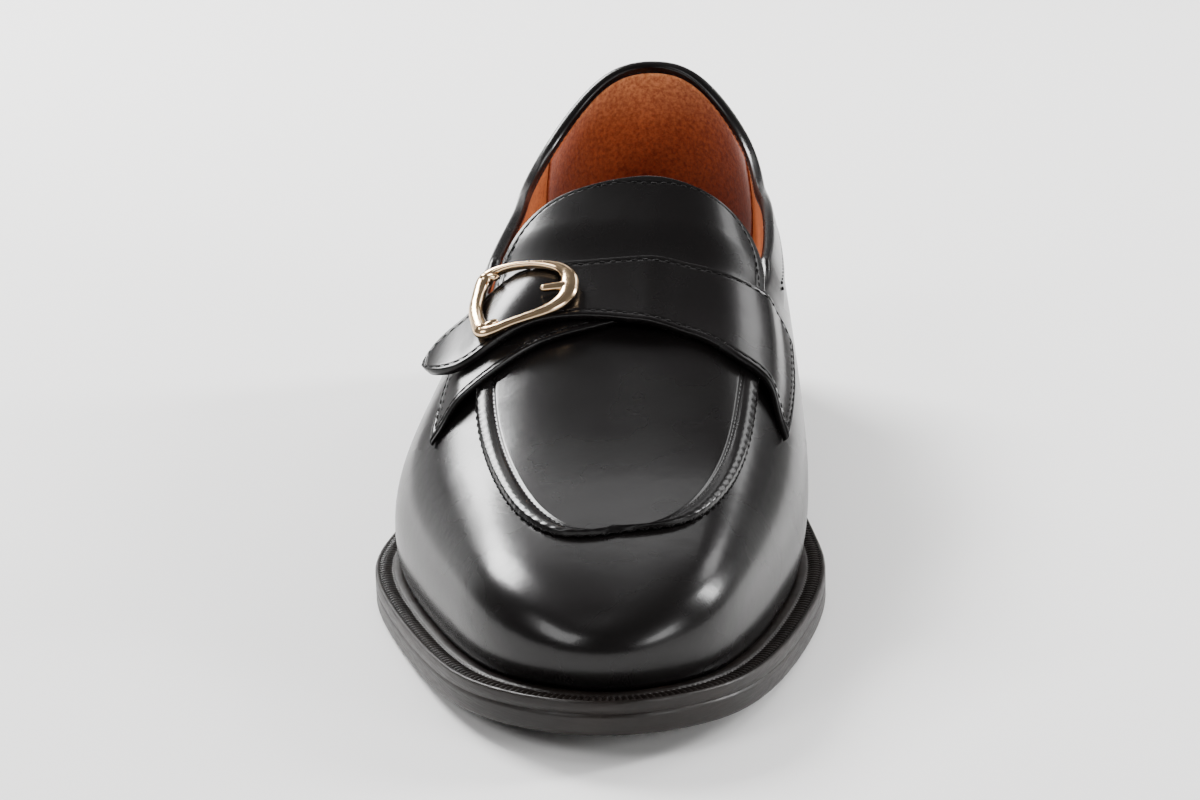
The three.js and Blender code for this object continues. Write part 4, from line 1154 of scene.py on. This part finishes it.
def buckle_spot(out, side):
    """Point and upward direction of a place in the buckle, out and side as shares of its sizes."""
    ends = [on_upper(np.array(end)) for end in (ROUND_END, BAR)]
    per_length = (BAR[1] - ROUND_END[1]) / np.linalg.norm(ends[0] - ends[1])
    along = (ROUND_END[0] + BAR[0]) / 2 + (BAR[0] - ROUND_END[0]) * out + side * BUCKLE_WIDTH / LENGTH
    girth = (ROUND_END[1] + BAR[1]) / 2 + out * BUCKLE_LENGTH * per_length
    plan = np.stack([along, girth], -1)
    return on_upper(plan, OVER_WING + STRAP + CLEAR + BUCKLE_WIRE / 2), up_from_upper(plan)


def tube(centre, up, wide, thick, sides, closed):
    """Rings of an oval section along a line of points."""
    ahead = np.gradient(centre, axis=0)
    if closed:
        ahead[0] = ahead[-1] = centre[1] - centre[-2]
    ahead /= np.linalg.norm(ahead, axis=1, keepdims=True)
    aside = np.cross(ahead, up)
    aside /= np.linalg.norm(aside, axis=1, keepdims=True)
    above = np.cross(aside, ahead)
    angle = np.arange(sides) / sides * 2 * math.pi
    across = np.sign(np.cos(angle)) * np.abs(np.cos(angle)) ** 0.95
    high = np.sign(np.sin(angle)) * np.abs(np.sin(angle)) ** 0.95
    wide = np.broadcast_to(wide, len(centre))[:, None, None]
    thick = np.broadcast_to(thick, len(centre))[:, None, None]
    return (
        centre[:, None]
        + aside[:, None] * across[:, None] * wide / 2
        + above[:, None] * high[:, None] * thick / 2
    )


ring_rows = {name: np.concatenate([column, column[-2:0:-1]]) for name, column in RING.items()}
ring_rows["side"][len(RING["side"]):] *= -1
ring_of = {name: spline_through(column, "loop") for name, column in ring_rows.items()}
ring_place = np.linspace(0, len(ring_rows["out"]), 241)
ring_wide = ring_of["wide"](ring_place)
ring_out = ring_of["out"](ring_place)
ring_side = ring_of["side"](ring_place)
# The bar leans, so that its lower corner is nearer the round end
ring_out = ring_out - 0.1 * rise(-ring_side, -0.1, 0.5) * rise(ring_out, 0.0, 0.45)
# The arm nearer the ankle is the thinner one
ring_wide = ring_wide * (1 - 0.5 * ring_side * np.clip(1 - (ring_out / 0.5) ** 2, 0, 1))
# The crescent widens inwards, so that its outer edge keeps the ring's outline
inward = np.clip(ring_wide - BUCKLE_WIRE, 0, None) / 2
ring_out = ring_out - inward / BUCKLE_LENGTH * np.clip(ring_out * 4, -1, 1)
ring_centre, ring_up = buckle_spot(ring_out, ring_side)
ring_grid = tube(ring_centre, ring_up, ring_wide, ring_of["thick"](ring_place), 18, True)


def pale_gold_plating():
    """Pale gold plating on zinc: polished, warm, faintly softened by handling."""
    material, shader = new_finish(
        "pale_gold_plating", Base_Color=linear("#e8c8a0"), Metallic=1.0, Roughness=0.16
    )
    place = add(material, "ShaderNodeTexCoord").outputs["Object"]
    wear = add(material, "ShaderNodeTexNoise", Vector=place, Scale=500.0, Detail=3.0).outputs["Fac"]
    gloss = add(material, "ShaderNodeMapRange", i0=wear, i1=0.3, i2=0.7, i3=0.12, i4=0.24).outputs["Result"]
    material.node_tree.links.new(gloss, shader.inputs["Roughness"])
    return material


def ball(centre, radius):
    """A sphere as a grid."""
    polar = np.linspace(0, math.pi, 13)[:, None]
    turn = np.arange(20)[None] / 20 * 2 * math.pi
    level = np.sin(polar)
    unit = np.stack([level * np.cos(turn), level * np.sin(turn), np.cos(polar) + 0 * turn], -1)
    return np.asarray(centre) + unit * radius


def rounded_rod(points, ups, wide, thick, sides=12):
    """A tube whose ends close in a dome."""
    reach = run_length(points)
    end = np.minimum(reach, reach[-1] - reach)
    dome = np.sqrt(np.clip(1 - (1 - np.clip(end / (np.min(thick) / 2), 0, 1)) ** 2, 0, 1))
    return tube(points, ups, wide * dome, thick * dome, sides, False)


buckle_grids = [(ring_grid[:-1], True, True)]
for side in (-1, 1):
    bar_out = 0.44 if side > 0 else 0.35
    knuckle, _ = buckle_spot(np.array(bar_out), np.array(side * 0.45))
    buckle_grids.append((ball(knuckle, 1.75), False, True))
    hook_share = np.linspace(0, 1, 26)
    hook_line, hook_up = buckle_spot(bar_out - 0.15 * hook_share, side * (0.44 - 0.07 * hook_share**2))
    hook_line = hook_line + hook_up * (0.5 * np.sin(hook_share * math.pi))[:, None]
    buckle_grids.append((rounded_rod(hook_line, hook_up, 1.7, 1.6), False, True))
prong_share = np.linspace(0, 1, 30)
prong_line, prong_up = buckle_spot(-0.44 + 0.25 * prong_share, -0.04 * prong_share)
prong_line = prong_line + prong_up * (0.2 + 0.9 * prong_share)[:, None]
prong = rounded_rod(prong_line, prong_up, 2.5 - 0.8 * prong_share, 2.1 - 0.5 * prong_share)
buckle_grids.append((prong, False, True))
pale_gold = pale_gold_plating()
make_piece("buckle_casting", pale_gold, buckle_grids, ["buckle"])

# Stitches
# Waxed dark thread. The plug has slanted stitches that cross its outer seam and a twisted row inside
# the roll; tongue, strap, wing and collar have plain rows a little in from their edges.
THREAD = 0.42
STITCH_SIDES = 6
STITCH_RINGS = 7


def waxed_thread():
    """Waxed linen thread: black-brown, half matt, with the twist of its plies."""
    material, shader = new_finish(
        "waxed_thread", Base_Color=linear("#0c0a0a"), Roughness=0.7, Specular_IOR_Level=0.2
    )
    place = add(material, "ShaderNodeTexCoord").outputs["Object"]
    twist = add(material, "ShaderNodeTexWave", Vector=place, Scale=1400.0, Distortion=2.0).outputs["Fac"]
    bump = add(material, "ShaderNodeBump", Height=twist, Strength=0.4, Distance=0.00005)
    material.node_tree.links.new(bump.outputs["Normal"], shader.inputs["Normal"])
    return material


thread = waxed_thread()


def stitches(points, ups, pitch, length, slant=0.0, turn=0.0):
    """Grids of stitches along a line: slant tips them all one way, turn tips every other one."""
    reach = run_length(points)
    count = max(int(reach[-1] // pitch), 1)
    middle = (np.arange(count) + 0.5) * reach[-1] / count
    at = np.stack([np.interp(middle, reach, points[:, k]) for k in range(3)], -1)
    up = np.stack([np.interp(middle, reach, ups[:, k]) for k in range(3)], -1)
    up /= np.linalg.norm(up, axis=1, keepdims=True)
    ahead = np.stack([np.interp(middle, reach, np.gradient(points[:, k], reach)) for k in range(3)], -1)
    aside = np.cross(up, ahead)
    aside /= np.linalg.norm(aside, axis=1, keepdims=True)
    ahead = np.cross(aside, up)
    lean = slant + turn * (-1.0) ** np.arange(count)
    way = ahead * np.cos(lean)[:, None] + aside * np.sin(lean)[:, None]
    side = np.cross(way, up)
    u = np.linspace(-1, 1, STITCH_RINGS)
    thick = THREAD / 2 * np.sqrt(1 - np.abs(u) ** 3)
    angle = np.arange(STITCH_SIDES) / STITCH_SIDES * 2 * math.pi
    spine = at[:, None] + way[:, None] * (u * length / 2)[:, None] - up[:, None] * (0.22 * u**4)[:, None]
    grid = (
        spine[:, :, None]
        + side[:, None, None] * (thick[:, None] * np.cos(angle))[..., None]
        + up[:, None, None] * (thick[:, None] * np.sin(angle))[..., None]
    )
    return [(stitch, False, True) for stitch in grid]


def seam(plan, height, *shape):
    """Stitches along places on the upper."""
    return stitches(on_upper(plan, height), up_from_upper(plan), *shape)


def band_row(band, t, inset):
    """A line on a band's face at an inset from its front (positive) or back edge."""
    width = band.width(t)
    share = np.clip(inset / width, -0.5, 0.5)
    share = np.where(share < 0, 1 + share, share)
    return band.place(t, share, band.thickness - 0.08), up_from_upper(band.plan(t, share))


plug_front_t = np.linspace(-7.6, 7.6, 700)
outer_seam = plug_plan(np.mod(plug_front_t, 2 * PLUG_HALF), 0.12)
twisted_row = plug_plan(np.mod(plug_front_t, 2 * PLUG_HALF), TWIST_ROW)
tongue_t = np.linspace(8.3, 2 * PLUG_HALF - 8.3, 600)
tongue_row = plug_plan(tongue_t, TONGUE_ROW)
plug_stitches = seam(outer_seam, 0.45, PUCKER / 2, 1.5, 0.0, 0.5)
plug_stitches += seam(twisted_row, 0.85, TWIST_PITCH, 1.9, 0.45)
plug_stitches += seam(tongue_row, CLEAR + TONGUE - 0.1, 2.3, 1.7)
make_piece("plug_stitches", thread, plug_stitches)

strap_t = np.linspace(0.15, strap_band.last - 0.18, 400)
end_share = np.linspace(0.06, 0.94, 60)
strap_stitches = stitches(*band_row(strap_band, strap_t, EDGE_ROW), 2.4, 1.7)
strap_stitches += stitches(*band_row(strap_band, strap_t, -EDGE_ROW), 2.4, 1.7)
for place in (0.17, 0.36):
    t_row = np.full(60, place)
    row_up = up_from_upper(strap_band.plan(t_row, end_share))
    strap_stitches += stitches(strap_band.place(t_row, end_share, STRAP - 0.08), row_up, 2.4, 1.7)
wing_t = np.linspace(0.15, wing_band.last - 0.15, 200)
strap_stitches += stitches(*band_row(wing_band, wing_t, EDGE_ROW), 2.4, 1.7)
for place in (0.16, 0.34):
    t_row = np.full(60, wing_band.last - place)
    row_up = up_from_upper(wing_band.plan(t_row, end_share))
    strap_stitches += stitches(wing_band.place(t_row, end_share, WING - 0.08), row_up, 2.4, 1.7)
make_piece("strap_stitches", thread, strap_stitches)

collar_places = np.linspace(COLLAR_STATION - 0.1, ROUND - COLLAR_STATION + 0.1, 700)
collar_stations = np.minimum(collar_places, ROUND - collar_places)


def collar_line(distance, height):
    """A line on the collar at a distance below its top edge."""
    girth = np.where(
        collar_places <= HEEL,
        -girth_below_top(collar_stations, -1, distance),
        girth_below_top(collar_stations, 1, distance),
    )
    return lifted(collar_stations, girth, np.full(len(girth), height)), surface_normal(collar_stations, girth)


outer_line, outer_up = collar_line(COLLAR_BAND - 1.5, COLLAR_STEP - 0.02)
inner_line, inner_up = collar_line(FACING - 0.7, -facing_depth + 0.02)
collar_stitches = stitches(outer_line, outer_up, 2.3, 1.6)
collar_stitches += stitches(inner_line, -inner_up, 2.3, 1.6)
make_piece("collar_stitches", thread, collar_stitches)

# Studio
# A white sweep, seven soft boxes round the shoe and a wide ceiling light that its gloss doesn't show.
# The camera stands at the place chosen for the photograph's, turned to the one shoe, with a longer lens.
floor_mesh = bpy.data.meshes.new("floor")
sweep = [(-4.0, 0.0), (1.9, 0.0), (2.3, 0.05), (2.6, 0.2), (2.8, 0.5), (2.85, 0.9)]
sweep_points = [(x, y, z) for y, z in sweep for x in (-5.0, 5.0)]
sweep_faces = [(2 * i, 2 * i + 1, 2 * i + 3, 2 * i + 2) for i in range(len(sweep) - 1)]
floor_mesh.from_pydata(sweep_points, [], sweep_faces)
floor_mesh.polygons.foreach_set("use_smooth", [True] * len(floor_mesh.polygons))
floor = bpy.data.objects.new("floor", floor_mesh)
bpy.context.scene.collection.objects.link(floor)
paper, _ = new_finish("matt_white_paper", Base_Color=linear("#f4f3f2"), Roughness=0.9)
floor_mesh.materials.append(paper)

world = bpy.data.worlds.new("studio")
bpy.context.scene.world = world
world.use_nodes = True
world.node_tree.nodes["Background"].inputs["Color"].default_value = linear("#f1f1f3")
world.node_tree.nodes["Background"].inputs["Strength"].default_value = 0.18


def soft_box(name, direction, distance, width, height, power):
    """A rectangular area light that looks at the shoe from a direction."""
    light = bpy.data.lights.new(name, "AREA")
    light.shape = "RECTANGLE"
    light.size = width
    light.size_y = height
    light.energy = power
    lamp = bpy.data.objects.new(name, light)
    bpy.context.scene.collection.objects.link(lamp)
    towards = Vector(direction).normalized()
    lamp.location = Vector((0, -0.02, 0.04)) + towards * distance
    lamp.rotation_euler = (-towards).to_track_quat("-Z", "Y").to_euler()
    return lamp


soft_box("left_box", (-0.5, 0.55, 0.66), 1.5, 0.55, 0.5, 44)
soft_box("left_side_box", (-0.78, 0.6, 0.15), 1.5, 0.5, 0.6, 1.2)
soft_box("right_box", (0.85, 0.33, 0.46), 1.5, 0.25, 0.6, 22)
soft_box("right_back_box", (0.52, 0.58, 0.62), 1.5, 0.45, 0.35, 3.6)
soft_box("back_box", (-0.05, 0.74, 0.67), 1.5, 0.7, 0.2, 1.0)
soft_box("front_left_box", (-0.6, -0.5, 0.62), 1.5, 0.5, 0.5, 8)
soft_box("front_right_box", (0.8, -0.54, 0.32), 1.5, 0.5, 0.4, 9)
ceiling = soft_box("ceiling_box", (0.0, 0.25, 1.0), 2.2, 3.0, 3.0, 45)
ceiling.visible_glossy = False

CAMERA_PLACE = (66.0, -533.9, 243.0)
CAMERA_DOWN = 17.4
CAMERA_FOCAL = 1933.0
FRAME_WIDTH = 1200.0
FRAME_HEIGHT = 800.0
SHOE_PIXEL = (413.0, 409.0)
LENS = 90.0

camera_data = bpy.data.cameras.new("camera")
camera_data.sensor_width = 36.0
camera_data.lens = LENS
camera_data.clip_start = 0.01
camera = bpy.data.objects.new("camera", camera_data)
bpy.context.scene.collection.objects.link(camera)
down = math.radians(CAMERA_DOWN)
forward = Vector((0, math.cos(down), -math.sin(down)))
straight = forward.to_track_quat("-Z", "Y")
aside = (SHOE_PIXEL[0] - FRAME_WIDTH / 2) / CAMERA_FOCAL
below_centre = (SHOE_PIXEL[1] - FRAME_HEIGHT / 2) / CAMERA_FOCAL
to_shoe = straight @ Vector((aside, -below_centre, -1)).normalized()
camera.rotation_mode = "QUATERNION"
camera.rotation_quaternion = forward.rotation_difference(to_shoe) @ straight
camera.location = to_frame(CAMERA_PLACE)
bpy.context.scene.camera = camera
